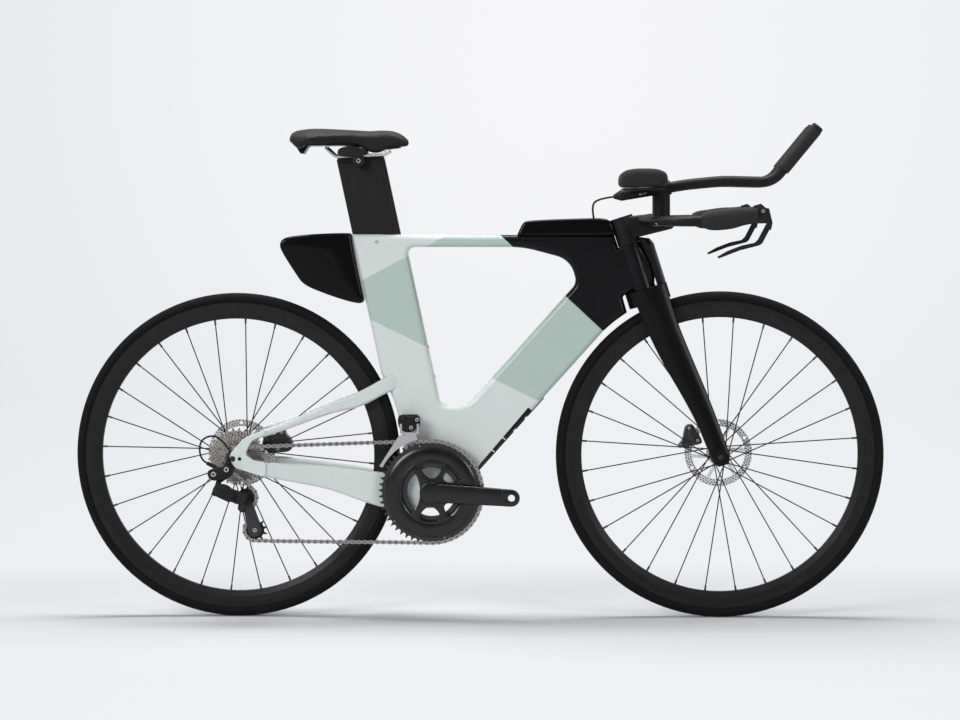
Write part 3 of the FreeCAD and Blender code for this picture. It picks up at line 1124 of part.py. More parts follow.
def chain_path(cage_turn):
    """Runs and arcs of the chain's pitch line: each a length, and a function of the distance along it."""
    wheels = chain_wheels(cage_turn)
    lines = []
    for (a, ra, sa), (b, rb, sb) in zip(wheels, wheels[1:] + wheels[:1]):
        way = b - a
        heading = math.atan2(way.z, way.x) + math.asin((sa * ra - sb * rb) / way.Length)
        right = Vector(math.sin(heading), 0, -math.cos(heading))
        lines.append((a + right * (sa * ra), b + right * (sb * rb)))
    pieces = []
    for index, (start, end) in enumerate(lines):
        centre, radius, sense = wheels[(index + 1) % len(wheels)]
        leave = lines[(index + 1) % len(lines)][0]
        pieces.append(("run", (end - start).Length, start, end))
        first = math.atan2(end.z - centre.z, end.x - centre.x)
        last = math.atan2(leave.z - centre.z, leave.x - centre.x)
        sweep = (sense * (last - first)) % (2 * math.pi)
        pieces.append(("arc", sweep * radius, centre, radius, first, sense))
    return pieces


def path_point(pieces, distance):
    """The point of the pitch line at a distance along it."""
    total = sum(piece[1] for piece in pieces)
    distance = distance % total
    for piece in pieces:
        if distance <= piece[1]:
            break
        distance -= piece[1]
    if piece[0] == "run":
        return piece[2] + (piece[3] - piece[2]) * (distance / piece[1])
    angle = piece[4] + piece[5] * distance / piece[3]
    return piece[2] + Vector(piece[3] * math.cos(angle), 0, piece[3] * math.sin(angle))


WALK_SHARES = (0.9, 1.2)
CAGE_SEARCH = 30


def walk_pins(pieces, count):
    """Distances of the chain's pins, each one pitch from the last."""
    places = [0.0]
    for _ in range(count):
        here = path_point(pieces, places[-1])
        low, high = (places[-1] + share * s.chain_pitch for share in WALK_SHARES)
        for _ in range(40):
            middle = (low + high) / 2
            short = (path_point(pieces, middle) - here).Length < s.chain_pitch
            low, high = (middle, high) if short else (low, middle)
        places.append(low)
    return places


def settle_chain():
    """The even link count and the cage angle that close the loop."""
    pieces = chain_path(s.cage_angle)
    length = sum(piece[1] for piece in pieces)
    count = 2 * round(length / s.chain_pitch / 2)
    low, high = s.cage_angle - CAGE_SEARCH, s.cage_angle + CAGE_SEARCH
    for _ in range(40):
        middle = (low + high) / 2
        pieces = chain_path(middle)
        slack = sum(piece[1] for piece in pieces) - walk_pins(pieces, count)[-1]
        low, high = (low, middle) if slack < 0 else (middle, high)
    return middle, count


cage_turn, link_count = settle_chain()
chain_pieces = chain_path(cage_turn)
pins = walk_pins(chain_pieces, link_count)[:-1]
sprocket_place = -s.first_sprocket_place


EASE_HOLD = 0.1


def chain_side(distance):
    """Sideways place of the chain, easing between the chainring's line and the sprocket's."""
    stops = [0.0]
    for piece in chain_pieces:
        stops.append(stops[-1] + piece[1])
    distance = distance % stops[-1]
    if distance < stops[1]:
        share = distance / stops[1]
    elif distance < stops[6]:
        share = 1.0
    elif distance < stops[7]:
        share = 1 - (distance - stops[6]) / (stops[7] - stops[6])
    else:
        share = 0.0
    share = min(1.0, max(0.0, (share - EASE_HOLD) / (1 - 2 * EASE_HOLD)))
    return ring_place + (sprocket_place - ring_place) * share * share * (3 - 2 * share)


def pin_phase(centre, radius):
    """Angle of a pin that lies on a pitch circle."""
    for distance in pins:
        spot = path_point(chain_pieces, distance) - centre
        if abs(spot.Length - radius) < Part.Precision.confusion():
            return math.atan2(spot.z, spot.x)
    return 0.0


def link_plate(inner_face):
    """A pair of side plates, waisted between their ends, about a link that lies along X."""
    half = s.plate_height / 2
    end = half / 2
    pitch = s.chain_pitch
    upper = [Vector(-end, 0, half), Vector(end, 0, half), Vector(pitch / 2, 0, s.plate_waist / 2),
             Vector(pitch - end, 0, half), Vector(pitch + end, 0, half)]
    lower = [Vector(corner.x, 0, -corner.z) for corner in reversed(upper)]
    corners = [Vector(-half, 0, 0)] + upper + [Vector(pitch + half, 0, 0)] + lower
    wire = Part.makePolygon(corners + corners[:1])
    return [slab(wire, start, s.plate_thickness) for start in (inner_face, -inner_face - s.plate_thickness)]


def chain():
    inner_face = s.inner_gap / 2
    outer_face = inner_face + s.plate_thickness + s.link_clearance
    corners = [around(Vector(0, 0, 0), s.roller_radius, index * 360 / ROLLER_SIDES)
               for index in range(ROLLER_SIDES + 1)]
    roller = slab(Part.makePolygon(corners), -inner_face, s.inner_gap)
    second = roller.translated(Vector(s.chain_pitch, 0, 0))
    inner_link = Part.Compound([roller, second] + link_plate(inner_face))
    outer_link = Part.Compound(link_plate(outer_face))
    links = []
    for index, distance in enumerate(pins):
        here = path_point(chain_pieces, distance) + Vector(0, chain_side(distance), 0)
        following = pins[(index + 1) % len(pins)]
        there = path_point(chain_pieces, following) + Vector(0, chain_side(following), 0)
        run = there - here
        turn = Rotation(run, Vector(0, 1, 0), run.cross(Vector(0, 1, 0)), "XZY")
        link = (inner_link if index % 2 == 0 else outer_link).copy()
        link.Placement = Placement(here, turn)
        links.append(link)
    return Part.Compound(links)


node("chain", chain())


def shifted(place):
    return Vector(0, place, 0)


wheels_met = chain_wheels(cage_turn)
guide_spot = wheels_met[2][0]
tension_spot = wheels_met[3][0]


def cassette():
    """Eleven sprockets on one sleeve that keeps them apart."""
    places = [sprocket_place + index * s.sprocket_spacing for index in range(len(SPROCKET_TEETH))]
    phases = [pin_phase(rear_hub, pitch_radius(SPROCKET_TEETH[0]))] + [0.0] * (len(SPROCKET_TEETH) - 1)
    bore = s.freehub_radius + s.seat_gap
    plates = [toothed(rear_hub + shifted(place), teeth, phase, s.tooth_thickness, bore)
              for place, teeth, phase in zip(places, SPROCKET_TEETH, phases)]
    sleeve = tube_ring(rear_hub + shifted(places[0]), rear_hub + shifted(places[-1]), bore + s.sleeve_wall,
                       bore)
    return sleeve.fuse(plates).Solids[0]


node("cassette", cassette())
node("freehub_body", turned("freehub_body", (
    ("-freehub_end", "axle_radius + running_gap"), ("-freehub_end", "freehub_radius"),
    ("-rear_hub_right - touch_gap", "freehub_radius"),
    ("-rear_hub_right - touch_gap", "axle_radius + running_gap")), Placement(rear_hub, along_y)))


def big_chainring():
    teeth = toothed(bb + shifted(ring_place), BIG_RING_TEETH, pin_phase(bb, pitch_radius(BIG_RING_TEETH)),
                    s.tooth_thickness, s.ring_inner_radius)
    start = bb + shifted(ring_place - s.ring_thickness / 2)
    end = bb + shifted(ring_place + s.ring_thickness / 2)
    web = tube_ring(start, end, pitch_radius(BIG_RING_TEETH) - s.ring_rim, s.ring_inner_radius)
    return teeth.fuse(web).Solids[0]


def small_chainring():
    teeth = toothed(bb + shifted(small_ring_place), SMALL_RING_TEETH, 0.0, s.tooth_thickness,
                    s.small_ring_inner_radius)
    start = bb + shifted(small_ring_place - s.ring_thickness / 2)
    end = bb + shifted(small_ring_place + s.ring_thickness / 2)
    web = tube_ring(start, end, pitch_radius(SMALL_RING_TEETH) - s.ring_rim, s.small_ring_inner_radius)
    return teeth.fuse(web).Solids[0]


node("big_chainring", big_chainring())
node("small_chainring", small_chainring())


CRANK_SHARES = ((0.06, 0.95), (0.25, 0.92), (0.55, 0.9))


def crank_arm(side, angle):
    """A crank arm that leans outward from the spindle to the pedal."""
    turn = math.radians(angle)
    way = Vector(math.cos(turn), 0, math.sin(turn))
    up = Vector(-math.sin(turn), 0, math.cos(turn))
    outer = side * s.crank_outer
    hub_middle = side * (s.crank_hub_inner + s.crank_outer) / 2 - side * s.crank_thickness / 4
    end_middle = outer - side * s.crank_thickness / 2
    sections = []
    heights = [(share, half * s.crank_hub_radius) for share, half in CRANK_SHARES]
    for share, half_tall in smooth_rows(heights + [(1, s.crank_end_radius)]):
        place = hub_middle + (end_middle - hub_middle) * share
        centre = bb + way * (share * s.crank_length) + Vector(0, place, 0)
        rim = [centre + up * (i * half_tall) + Vector(0, j * s.crank_thickness / 2, 0)
               for i, j in ((1, 1), (-1, 1), (-1, -1), (1, -1))]
        sections.append(outline([(spot, s.crank_thickness / 4) for spot in rim]))
    arm = loft(sections)
    end = bb + way * s.crank_length
    eye = rod(end + shifted(outer), end + shifted(outer - side * s.crank_thickness), s.crank_end_radius)
    boss = rod(bb + shifted(side * s.crank_hub_inner), bb + shifted(hub_middle + side * s.crank_thickness / 2),
               s.crank_hub_radius)
    hole = rod(end + shifted(outer + side * s.overrun), end + shifted(outer - side * 2 * s.crank_thickness),
               s.pedal_hole_radius)
    return arm.fuse([eye, boss]).cut(hole)


def spider_opening(centre, thickness, first, second):
    """A rounded three-sided hole between two arms of the spider."""
    middle = (first + second) / 2
    half_gap = math.radians(second - first) / 2
    edge_turn = math.degrees(math.asin(s.spider_arm / 2 / s.spider_opening_radius))
    apex = around(centre, s.spider_arm / 2 / math.sin(half_gap), middle)
    corners = [(apex, 0),
               (around(centre, s.spider_opening_radius, first + edge_turn), 0,
                around(centre, s.spider_opening_radius, middle)),
               (around(centre, s.spider_opening_radius, second - edge_turn), 0)]
    hole = slab(outline(corners), -s.overrun, thickness + 2 * s.overrun)
    upright = [edge for edge in hole.Edges if max(edge.BoundBox.XLength, edge.BoundBox.ZLength) < s.overrun]
    return hole.makeFillet(s.spider_corner, upright)


def right_crank():
    """The right arm with its spider, and the spindle that passes through the shell."""
    start = ring_place + s.ring_thickness / 2
    thickness = s.ring_spacing - s.ring_thickness
    centre = bb + shifted(start)
    ends = SPIDER_ANGLES[1:] + (SPIDER_ANGLES[0] + 360,)
    openings = [spider_opening(centre, thickness, first, second) for first, second in zip(SPIDER_ANGLES, ends)]
    spider = rod(centre, centre + shifted(thickness), s.spider_radius).cut(openings)
    boss = rod(bb - shifted(s.crank_hub_inner), centre + shifted(thickness), s.crank_hub_radius)
    spindle = rod(bb - shifted(s.crank_hub_inner), bb + shifted(s.crank_hub_inner), s.spindle_radius)
    return crank_arm(RIGHT, s.crank_angle).fuse([spider, boss, spindle]).Solids[0]


def left_crank():
    arm = crank_arm(LEFT, s.crank_angle + 180)
    return arm.Solids[0]


node("right_crank", right_crank())
node("left_crank", left_crank())

# Front derailleur: a mount on the seat tube and a cage that swings on a pin along X
front_cage_inner = pitch_radius(BIG_RING_TEETH) + s.front_cage_clearance
front_pivot = bb + Vector(-s.front_barrel_place, -s.front_pivot_offset, front_cage_inner + s.front_pivot_clearance)
half_barrel = Vector(s.front_barrel_length / 2, 0, 0)


def front_mech_mount():
    barrel = rod(front_pivot - half_barrel, front_pivot + half_barrel, s.front_barrel_radius)
    depth = s.front_pivot_offset - s.frame_width / 2
    foot = Part.makeBox(s.front_barrel_length, depth - s.mount_gap, s.front_mount_height)
    foot.translate(front_pivot - half_barrel + Vector(0, 0, -s.front_barrel_radius))
    pin_room = rod(front_pivot - half_barrel * 2, front_pivot + half_barrel * 2,
                   s.front_pin_radius + s.running_gap)
    return barrel.fuse(foot).cut(pin_room).Solids[0]


def front_mech_cage():
    """Two curved plates joined at the tail and at the top, on an arm with two ears."""
    inner, outer = front_cage_inner, front_cage_inner + s.front_cage_height
    first, last = s.front_cage_start, s.front_cage_end
    middle = (first + last) / 2
    tail_top = around(bb, inner + s.front_tail_height, last)
    peak = around(bb, inner + s.front_peak_height, s.front_cage_peak)
    wire = Part.Wire([
        Part.makeLine(around(bb, outer, first), peak),
        Part.makeLine(peak, tail_top),
        Part.makeLine(tail_top, around(bb, inner, last)),
        Part.Arc(*(around(bb, inner, angle) for angle in (last, middle, first))).toShape(),
        Part.makeLine(around(bb, inner, first), around(bb, outer, first))])
    near = ring_place - s.front_cage_gap
    far = ring_place + s.front_cage_gap
    plates = [slab(wire, start, s.front_cage_plate) for start in (near - s.front_cage_plate, far)]
    tail_spot = around(bb, inner + s.front_tail_height / 2, last - s.front_tail_turn) + shifted(near)
    tail = rod(tail_spot, tail_spot + shifted(far - near), s.front_tail_radius)
    start, end = front_pivot - half_barrel, front_pivot + half_barrel
    gap, ear_wide = Vector(s.touch_gap, 0, 0), Vector(s.front_ear, 0, 0)
    ears = [rod(start - gap - ear_wide, start - gap, s.front_barrel_radius),
            rod(end + gap, end + gap + ear_wide, s.front_barrel_radius)]
    pin = rod(start - gap - ear_wide, end + gap + ear_wide, s.front_pin_radius)
    edge = near - s.front_cage_plate
    floor = around(bb, outer, first).z - s.front_roof
    arms = []
    for place in (start.x - s.touch_gap - s.front_ear, end.x + s.touch_gap):
        arm = Part.makeBox(s.front_ear, front_pivot.y - edge, front_pivot.z - floor)
        arm.translate(Vector(place, edge, floor))
        arms.append(arm)
    roof = Part.makeBox(s.front_barrel_length + 2 * (s.front_ear + s.touch_gap), far + s.front_cage_plate - edge,
                        s.front_roof)
    roof.translate(Vector(start.x - s.touch_gap - s.front_ear, edge, floor))
    return plates[0].fuse([plates[1], tail, pin, roof] + ears + arms).Solids[0]


node("front_mech_mount", front_mech_mount())
node("front_mech_cage", front_mech_cage())

# Rear derailleur: hanger, upper knuckle, two links, lower knuckle, pulley cage and two pulleys
hanger_outer = -(s.dropout_spacing / 2 + s.dropout_thickness - s.hanger_inset)
hanger_bolt = rear_hub + Vector(-s.hanger_set_back, 0, -s.hanger_drop)
link_turn = math.radians(s.link_angle)
slant = math.radians(s.link_slant)
link_way = Vector(math.cos(link_turn), 0, -math.sin(link_turn))
link_down = Vector(-math.sin(link_turn), 0, -math.cos(link_turn))
link_swing = Vector(0, math.cos(slant), 0) + link_down * math.sin(slant)
link_axis = link_way.cross(link_swing)
knuckle_end = sprocket_place - s.cage_gap - s.cage_plate - s.touch_gap - s.lower_knuckle_thickness
lower_pivot = guide_spot + Vector(0, knuckle_end - s.link_room - s.link_spacing / 2, 0)
upper_pivot = lower_pivot - link_way * s.link_length


def hull_plate(first, second, first_radius, second_radius, start, thickness):
    """A plate with two round ends of their own radii, seen from the side."""
    way = second - first
    way = Vector(way.x, 0, way.z)
    turn = math.acos((first_radius - second_radius) / way.Length)
    heading = math.atan2(way.z, way.x)
    def rim(centre, radius, angle):
        return Vector(centre.x, 0, centre.z) + Vector(radius * math.cos(angle), 0, radius * math.sin(angle))
    a, b = rim(first, first_radius, heading + turn), rim(second, second_radius, heading + turn)
    c, d = rim(second, second_radius, heading - turn), rim(first, first_radius, heading - turn)
    wire = Part.Wire([Part.makeLine(a, b), Part.Arc(b, rim(second, second_radius, heading), c).toShape(),
                      Part.makeLine(c, d), Part.Arc(d, rim(first, first_radius, heading + math.pi), a).toShape()])
    return slab(wire, start, thickness)


def hanger():
    plate = hull_plate(rear_hub, hanger_bolt, s.hanger_radius, s.hanger_radius, hanger_outer, s.hanger_thickness)
    axle_room = rod(rear_hub - shifted(s.dropout_spacing), rear_hub, s.cap_radius + s.touch_gap)
    return max(plate.cut([right_stays, axle_room]).Solids, key=lambda piece: piece.Volume)


def link_bar(start, end, half_width, along):
    """A flat link with round eyes, turning on pins along an axis."""
    half = along * half_width
    eyes = [rod(spot - half, spot + half, s.link_thickness) for spot in (start, end)]
    run = end - start
    flat = along.cross(run).normalize()
    web = Part.makeBox(run.Length, 2 * half_width, s.link_thickness)
    web.translate(Vector(0, -half_width, -s.link_thickness / 2))
    web.Placement = Placement(start, Rotation(run, along, flat, "XZY")) * web.Placement
    pin_room = [rod(spot - half * 2, spot + half * 2, s.link_pin_radius + s.running_gap) for spot in (start, end)]
    return eyes[0].fuse([eyes[1], web]).cut(pin_room).Solids[0]


link_offset = Vector(0, s.link_spacing / 2, 0)
outer_pivots = (upper_pivot - link_offset, lower_pivot - link_offset)
inner_pivots = (upper_pivot + link_offset, lower_pivot + link_offset)


link_frame = Rotation(link_way, link_swing, link_axis, "ZXY")
bridge_start = s.outer_link_width / 2 + s.link_gap
bridge_reach = s.link_spacing * math.cos(slant)


def bridge(pivots, direction):
    """A plate beyond both links at one end of their pins, with the pins and a post for the inner link."""
    plate = Part.makeBox(2 * s.link_thickness, bridge_reach + 2 * s.link_thickness, s.bridge_thickness)
    level = bridge_start if direction > 0 else -bridge_start - s.bridge_thickness
    plate.translate(Vector(-s.link_thickness, -s.link_thickness, level))
    plate.Placement = Placement(pivots[0], link_frame) * plate.Placement
    pieces = []
    for spot, width in zip(pivots, (s.outer_link_width, s.inner_link_width)):
        rise = (spot - pivots[0]).dot(link_axis)
        far = link_axis * (direction * (bridge_start + s.bridge_thickness / 2) - rise)
        near = link_axis * (direction * (width / 2 + s.touch_gap))
        pieces.append(rod(spot - near, spot + far, s.link_pin_radius))
        if (far - near).dot(near) > 0 and (far - near).Length > s.bridge_thickness:
            pieces.append(rod(spot + near, spot + far, s.link_thickness))
    return plate.fuse(pieces)


adjuster_foot = hanger_bolt + shifted(hanger_outer - s.mount_gap - s.knuckle_thickness / 2)
adjuster_tip = adjuster_foot + Vector(-s.adjuster_reach, 0, s.adjuster_rise)


def upper_knuckle():
    """A block on the hanger's bolt with its cable adjuster, reaching down to the bridge over the links."""
    face = hanger_outer - s.mount_gap
    shoulder = outer_pivots[0] + link_axis * (bridge_start + 2 * s.link_thickness - s.bridge_thickness / 2)
    block = hull_plate(hanger_bolt, shoulder + link_swing * s.link_thickness, s.knuckle_radius, s.link_thickness,
                       face - s.knuckle_thickness, s.knuckle_thickness)
    bolt = hanger_bolt + shifted(face - s.knuckle_thickness)
    head = rod(bolt, bolt - shifted(s.hanger_inset), s.mech_bolt_radius)
    adjuster = rod(adjuster_foot, adjuster_tip, s.adjuster_radius)
    return block.fuse([head, adjuster, bridge(outer_and_inner(0), 1)]).Solids[0]


def outer_and_inner(end):
    return outer_pivots[end], inner_pivots[end]


def lower_knuckle():
    """A barrel on the cage's pivot, with a post down to the bridge under the links."""
    start = guide_spot + shifted(knuckle_end + s.lower_knuckle_thickness)
    barrel = rod(start, guide_spot + shifted(knuckle_end), s.knuckle_radius)
    bore = rod(start + shifted(s.overrun), start - shifted(s.lower_knuckle_thickness / 2),
               s.cage_pin_radius + s.running_gap)
    lateral = bridge_reach + 2 * s.link_thickness + s.link_gap
    foot = outer_pivots[1] + link_swing * lateral - link_axis * (bridge_start + s.bridge_thickness / 2)
    post = rod(foot, foot + link_axis * (bridge_start + s.link_thickness), s.link_thickness - s.link_gap)
    plate = rod(foot, outer_pivots[1] - link_axis * (bridge_start + s.bridge_thickness / 2), s.bridge_thickness / 2)
    return barrel.fuse([bridge(outer_and_inner(1), -1), post, plate]).cut(bore)


node("mech_outer_link", link_bar(outer_pivots[0], outer_pivots[1], s.outer_link_width / 2, link_axis))
node("mech_inner_link", link_bar(inner_pivots[0], inner_pivots[1], s.inner_link_width / 2, link_axis))
node("derailleur_hanger", hanger())
node("mech_upper_knuckle", upper_knuckle())
node("mech_lower_knuckle", lower_knuckle())


def pulley_cage():
    near = sprocket_place - s.cage_gap - s.cage_plate
    far = sprocket_place + s.cage_gap
    plates = [hull_plate(guide_spot, tension_spot, s.cage_upper_radius, s.cage_lower_radius, start, s.cage_plate)
              for start in (near, far)]
    deep = guide_spot + shifted(near - s.lower_knuckle_thickness / 2)
    pins = [rod(deep, guide_spot + shifted(far), s.cage_pin_radius),
            rod(tension_spot + shifted(near), tension_spot + shifted(far), s.cage_pin_radius)]
    return plates[0].fuse([plates[1]] + pins).Solids[0]


node("mech_cage", pulley_cage())
for label, spot in (("guide_pulley", guide_spot), ("tension_pulley", tension_spot)):
    node(label, toothed(spot + shifted(sprocket_place), PULLEY_TEETH, pin_phase(spot, pitch_radius(PULLEY_TEETH)),
                        s.tooth_thickness, s.cage_pin_radius + s.running_gap))

# Cables: the shift loop at the rear derailleur, and two from the extensions to the top tube box
SHIFT_LOOP_SHARES = ((-0.0115, 0.0, 0.0298),
                     (-0.061, -0.0061, 0.122),
                     (-0.161, -0.0207, 0.1049),
                     (-0.1634, -0.0222, 0.0))
BAR_LOOP_SHARES = ((-0.298, 0.067, -0.038), (-0.433, 0.327, -0.173), (-0.385, 0.423, 0))


def cable(label, points):
    """A cable's tube, with its bend radii and its volume against its section times its length."""
    radii = largest_radii(points)
    tube = pipe(points, radii, s.cable_radius)
    ideal = route(points, radii).Length * math.pi * s.cable_radius**2
    print(label, "bends", [round(radius, 1) for radius in radii], "volume share", round(tube.Volume / ideal, 4))
    return tube


dropout_middle = rear_hub - shifted((s.dropout_spacing + s.dropout_thickness) / 2)
shift_loop = [dropout_middle + Vector(*point) * s.chainstay_length for point in SHIFT_LOOP_SHARES]
shift_loop.append(adjuster_tip + (adjuster_tip - adjuster_foot).normalize() * s.touch_gap)
node("rear_mech_cable", cable("rear_mech_cable", shift_loop))

bar_start = ext[0] + tail_way * (s.tail_length + s.touch_gap + s.cable_radius / 4)
bar_loop = [bar_start] + [bar_start + Vector(*point) * s.extension_spacing for point in BAR_LOOP_SHARES]
bar_loop[-1].z = box_level(bar_loop[-1].x) + s.touch_gap + s.cable_radius / 2
node("bar_cables", pair(cable("bar_cables", bar_loop)))

# Checks, and the files
doc.recompute()
for item in doc.Objects:
    if {"Invalid", "Error"} & set(item.State):
        raise RuntimeError(f"{item.Label} did not build: {item.State}")
for label, piece in nodes.items():
    if piece.Shape.isNull() or not piece.Shape.isValid() or not piece.Shape.Solids:
        raise RuntimeError(f"{label} has no valid solid")
os.makedirs("parts", exist_ok=True)
for label, piece in nodes.items():
    piece.Shape.exportStep(f"parts/{label}.step")
print(len(nodes), "sub-parts,", link_count, "chain links, cage at", round(cage_turn, 2), "degrees")
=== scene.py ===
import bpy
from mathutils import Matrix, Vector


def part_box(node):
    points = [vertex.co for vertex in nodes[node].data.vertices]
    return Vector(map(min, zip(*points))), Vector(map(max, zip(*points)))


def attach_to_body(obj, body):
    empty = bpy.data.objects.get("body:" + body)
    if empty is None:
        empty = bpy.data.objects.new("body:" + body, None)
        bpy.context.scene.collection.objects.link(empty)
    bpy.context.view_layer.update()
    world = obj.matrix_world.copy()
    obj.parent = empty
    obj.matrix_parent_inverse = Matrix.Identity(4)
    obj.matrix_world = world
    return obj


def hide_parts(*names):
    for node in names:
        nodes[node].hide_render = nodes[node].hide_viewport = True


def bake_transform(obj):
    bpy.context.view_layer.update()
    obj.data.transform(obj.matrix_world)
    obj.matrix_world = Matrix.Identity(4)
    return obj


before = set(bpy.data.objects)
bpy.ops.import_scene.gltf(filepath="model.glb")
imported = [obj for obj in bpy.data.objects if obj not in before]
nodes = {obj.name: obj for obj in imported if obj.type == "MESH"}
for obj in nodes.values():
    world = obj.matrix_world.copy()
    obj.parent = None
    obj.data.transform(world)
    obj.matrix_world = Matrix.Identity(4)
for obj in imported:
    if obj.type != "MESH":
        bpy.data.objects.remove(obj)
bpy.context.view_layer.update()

import math

import bmesh
import bpy
from mathutils import Quaternion, Vector

scene = bpy.context.scene
print("frame loaded with", len(nodes), "nodes")


# camera, at the photograph's viewing angle
cameraSetup = {
    "place": (0.221, -5.0, 0.849),
    "yaw": -2.466,
    "pitch": -3.625,
    "roll": 0.278,
    "lens": 91.3,
    "sensor": 36.0,
}


def addCamera(setup):
    yaw = math.radians(setup["yaw"])
    pitch = math.radians(setup["pitch"])
    forward = Vector((
        math.sin(yaw) * math.cos(pitch),
        math.cos(yaw) * math.cos(pitch),
        math.sin(pitch),
    ))
    lens = bpy.data.cameras.new("photoCamera")
    lens.lens = setup["lens"]
    lens.sensor_width = setup["sensor"]
    lens.sensor_fit = "HORIZONTAL"
    camera = bpy.data.objects.new("photoCamera", lens)
    scene.collection.objects.link(camera)
    camera.location = setup["place"]
    camera.rotation_mode = "QUATERNION"
    level = forward.to_track_quat("-Z", "Y")
    camera.rotation_quaternion = Quaternion(forward, math.radians(setup["roll"])) @ level
    scene.camera = camera


addCamera(cameraSetup)
print("camera set")


class Line:
    # a value in a shader, which takes part in sums
    def __init__(self, finish, socket):
        self.finish = finish
        self.socket = socket

    def __add__(self, other):
        return self.finish.sum("ADD", self, other)

    def __radd__(self, other):
        return self.finish.sum("ADD", other, self)

    def __sub__(self, other):
        return self.finish.sum("SUBTRACT", self, other)

    def __rsub__(self, other):
        return self.finish.sum("SUBTRACT", other, self)

    def __mul__(self, other):
        return self.finish.sum("MULTIPLY", self, other)

    def __rmul__(self, other):
        return self.finish.sum("MULTIPLY", other, self)

    def __truediv__(self, other):
        return self.finish.sum("DIVIDE", self, other)

    def __rtruediv__(self, other):
        return self.finish.sum("DIVIDE", other, self)

    def __pow__(self, other):
        return self.finish.sum("POWER", self, other)

    def __abs__(self):
        return self.finish.sum("ABSOLUTE", self, 0.0)


lineCoreShare = 0.4   # full part of a thin line, before it fades


class Finish:
    # a material, its Principled shader and the nodes that feed it
    def __init__(self, name, constants):
        self.material = bpy.data.materials.new(name)
        self.material.use_nodes = True
        self.tree = self.material.node_tree
        self.shader = self.tree.nodes["Principled BSDF"]
        for socket, value in constants.items():
            self.shader.inputs[socket].default_value = value
        self.readPlace("Object")

    def readPlace(self, source):
        self.place = self.node("TexCoord", out=source)
        self.x = self.node("SeparateXYZ", {}, {0: self.place})
        self.y = Line(self, self.x.socket.node.outputs[1])
        self.z = Line(self, self.x.socket.node.outputs[2])

    def node(self, kind, settings=None, sockets=None, out=0):
        made = self.tree.nodes.new("ShaderNode" + kind)
        for key, value in (settings or {}).items():
            setattr(made, key, value)
        for key, value in (sockets or {}).items():
            if isinstance(value, Line):
                self.tree.links.new(value.socket, made.inputs[key])
            else:
                made.inputs[key].default_value = value
        return Line(self, made.outputs[out])

    def sum(self, operation, first, second):
        return self.node("Math", {"operation": operation}, {0: first, 1: second})

    def step(self, value, low, high):
        return self.node(
            "MapRange",
            {"interpolation_type": "SMOOTHSTEP"},
            {"Value": value, "From Min": low, "From Max": high},
        )

    def line(self, value, middle, halfWidth):
        # one on a thin line, zero beside it
        return 1 - self.step(abs(value - middle), lineCoreShare * halfWidth, halfWidth)

    def stretched(self, scale):
        return self.node("Mapping", {}, {"Vector": self.place, "Scale": scale})

    def noise(self, scale, detail=2.0, place=None):
        return self.node(
            "TexNoise", {}, {"Vector": place or self.place, "Scale": scale, "Detail": detail}
        )

    def tint(self, mask, first, second):
        return self.node("Mix", {"data_type": "RGBA"}, {0: mask, 6: first, 7: second}, out=2)

    def bump(self, height, strength, distance):
        return self.node(
            "Bump", {}, {"Height": height, "Strength": strength, "Distance": distance}
        )

    def use(self, links):
        for socket, value in links.items():
            self.tree.links.new(value.socket, self.shader.inputs[socket])
        return self.material


def shade(level, warmth=0.0):
    return (level * (1 + warmth), level, level * (1 - warmth), 1.0)


# frame paint: two mints and black, parted by three straight lines across the side view
paintSetup = {
    "constants": {"Coat Roughness": 0.07, "Specular IOR Level": 0.14},
    "pale": (0.63, 0.685, 0.665, 1.0),
    "mint": (0.42, 0.53, 0.485, 1.0),
    "black": (0.004, 0.004, 0.0045, 1.0),
    "upperEdge": ((-0.2256, 0.7027), (-0.0589, 0.7894)),
    "lowerEdge": ((0.1309, 0.4467), (-0.22, 0.6175)),
    "blackEdge": ((0.2593, 0.5915), (0.0469, 0.7912)),
    "edgeSoftness": 0.0006,
    "bandFoot": (0.0035, 0.3009),   # guard band on the lower edge of the down tube
    "bandTop": (0.1126, 0.4288),
    "bandWidth": 0.0100,
    "bandStart": -0.035,
    "bandBreaks": (0.0526, 0.0868),
    "breakHalfWidth": 0.0022,
    "roughness": 0.34,
    "blackSmoother": 0.1,
    "coat": 0.28,
    "blackLessCoat": 0.22,
    "peelScale": 420.0,
    "peelRoughness": 0.06,
    "bump": (0.05, 0.0004),
}


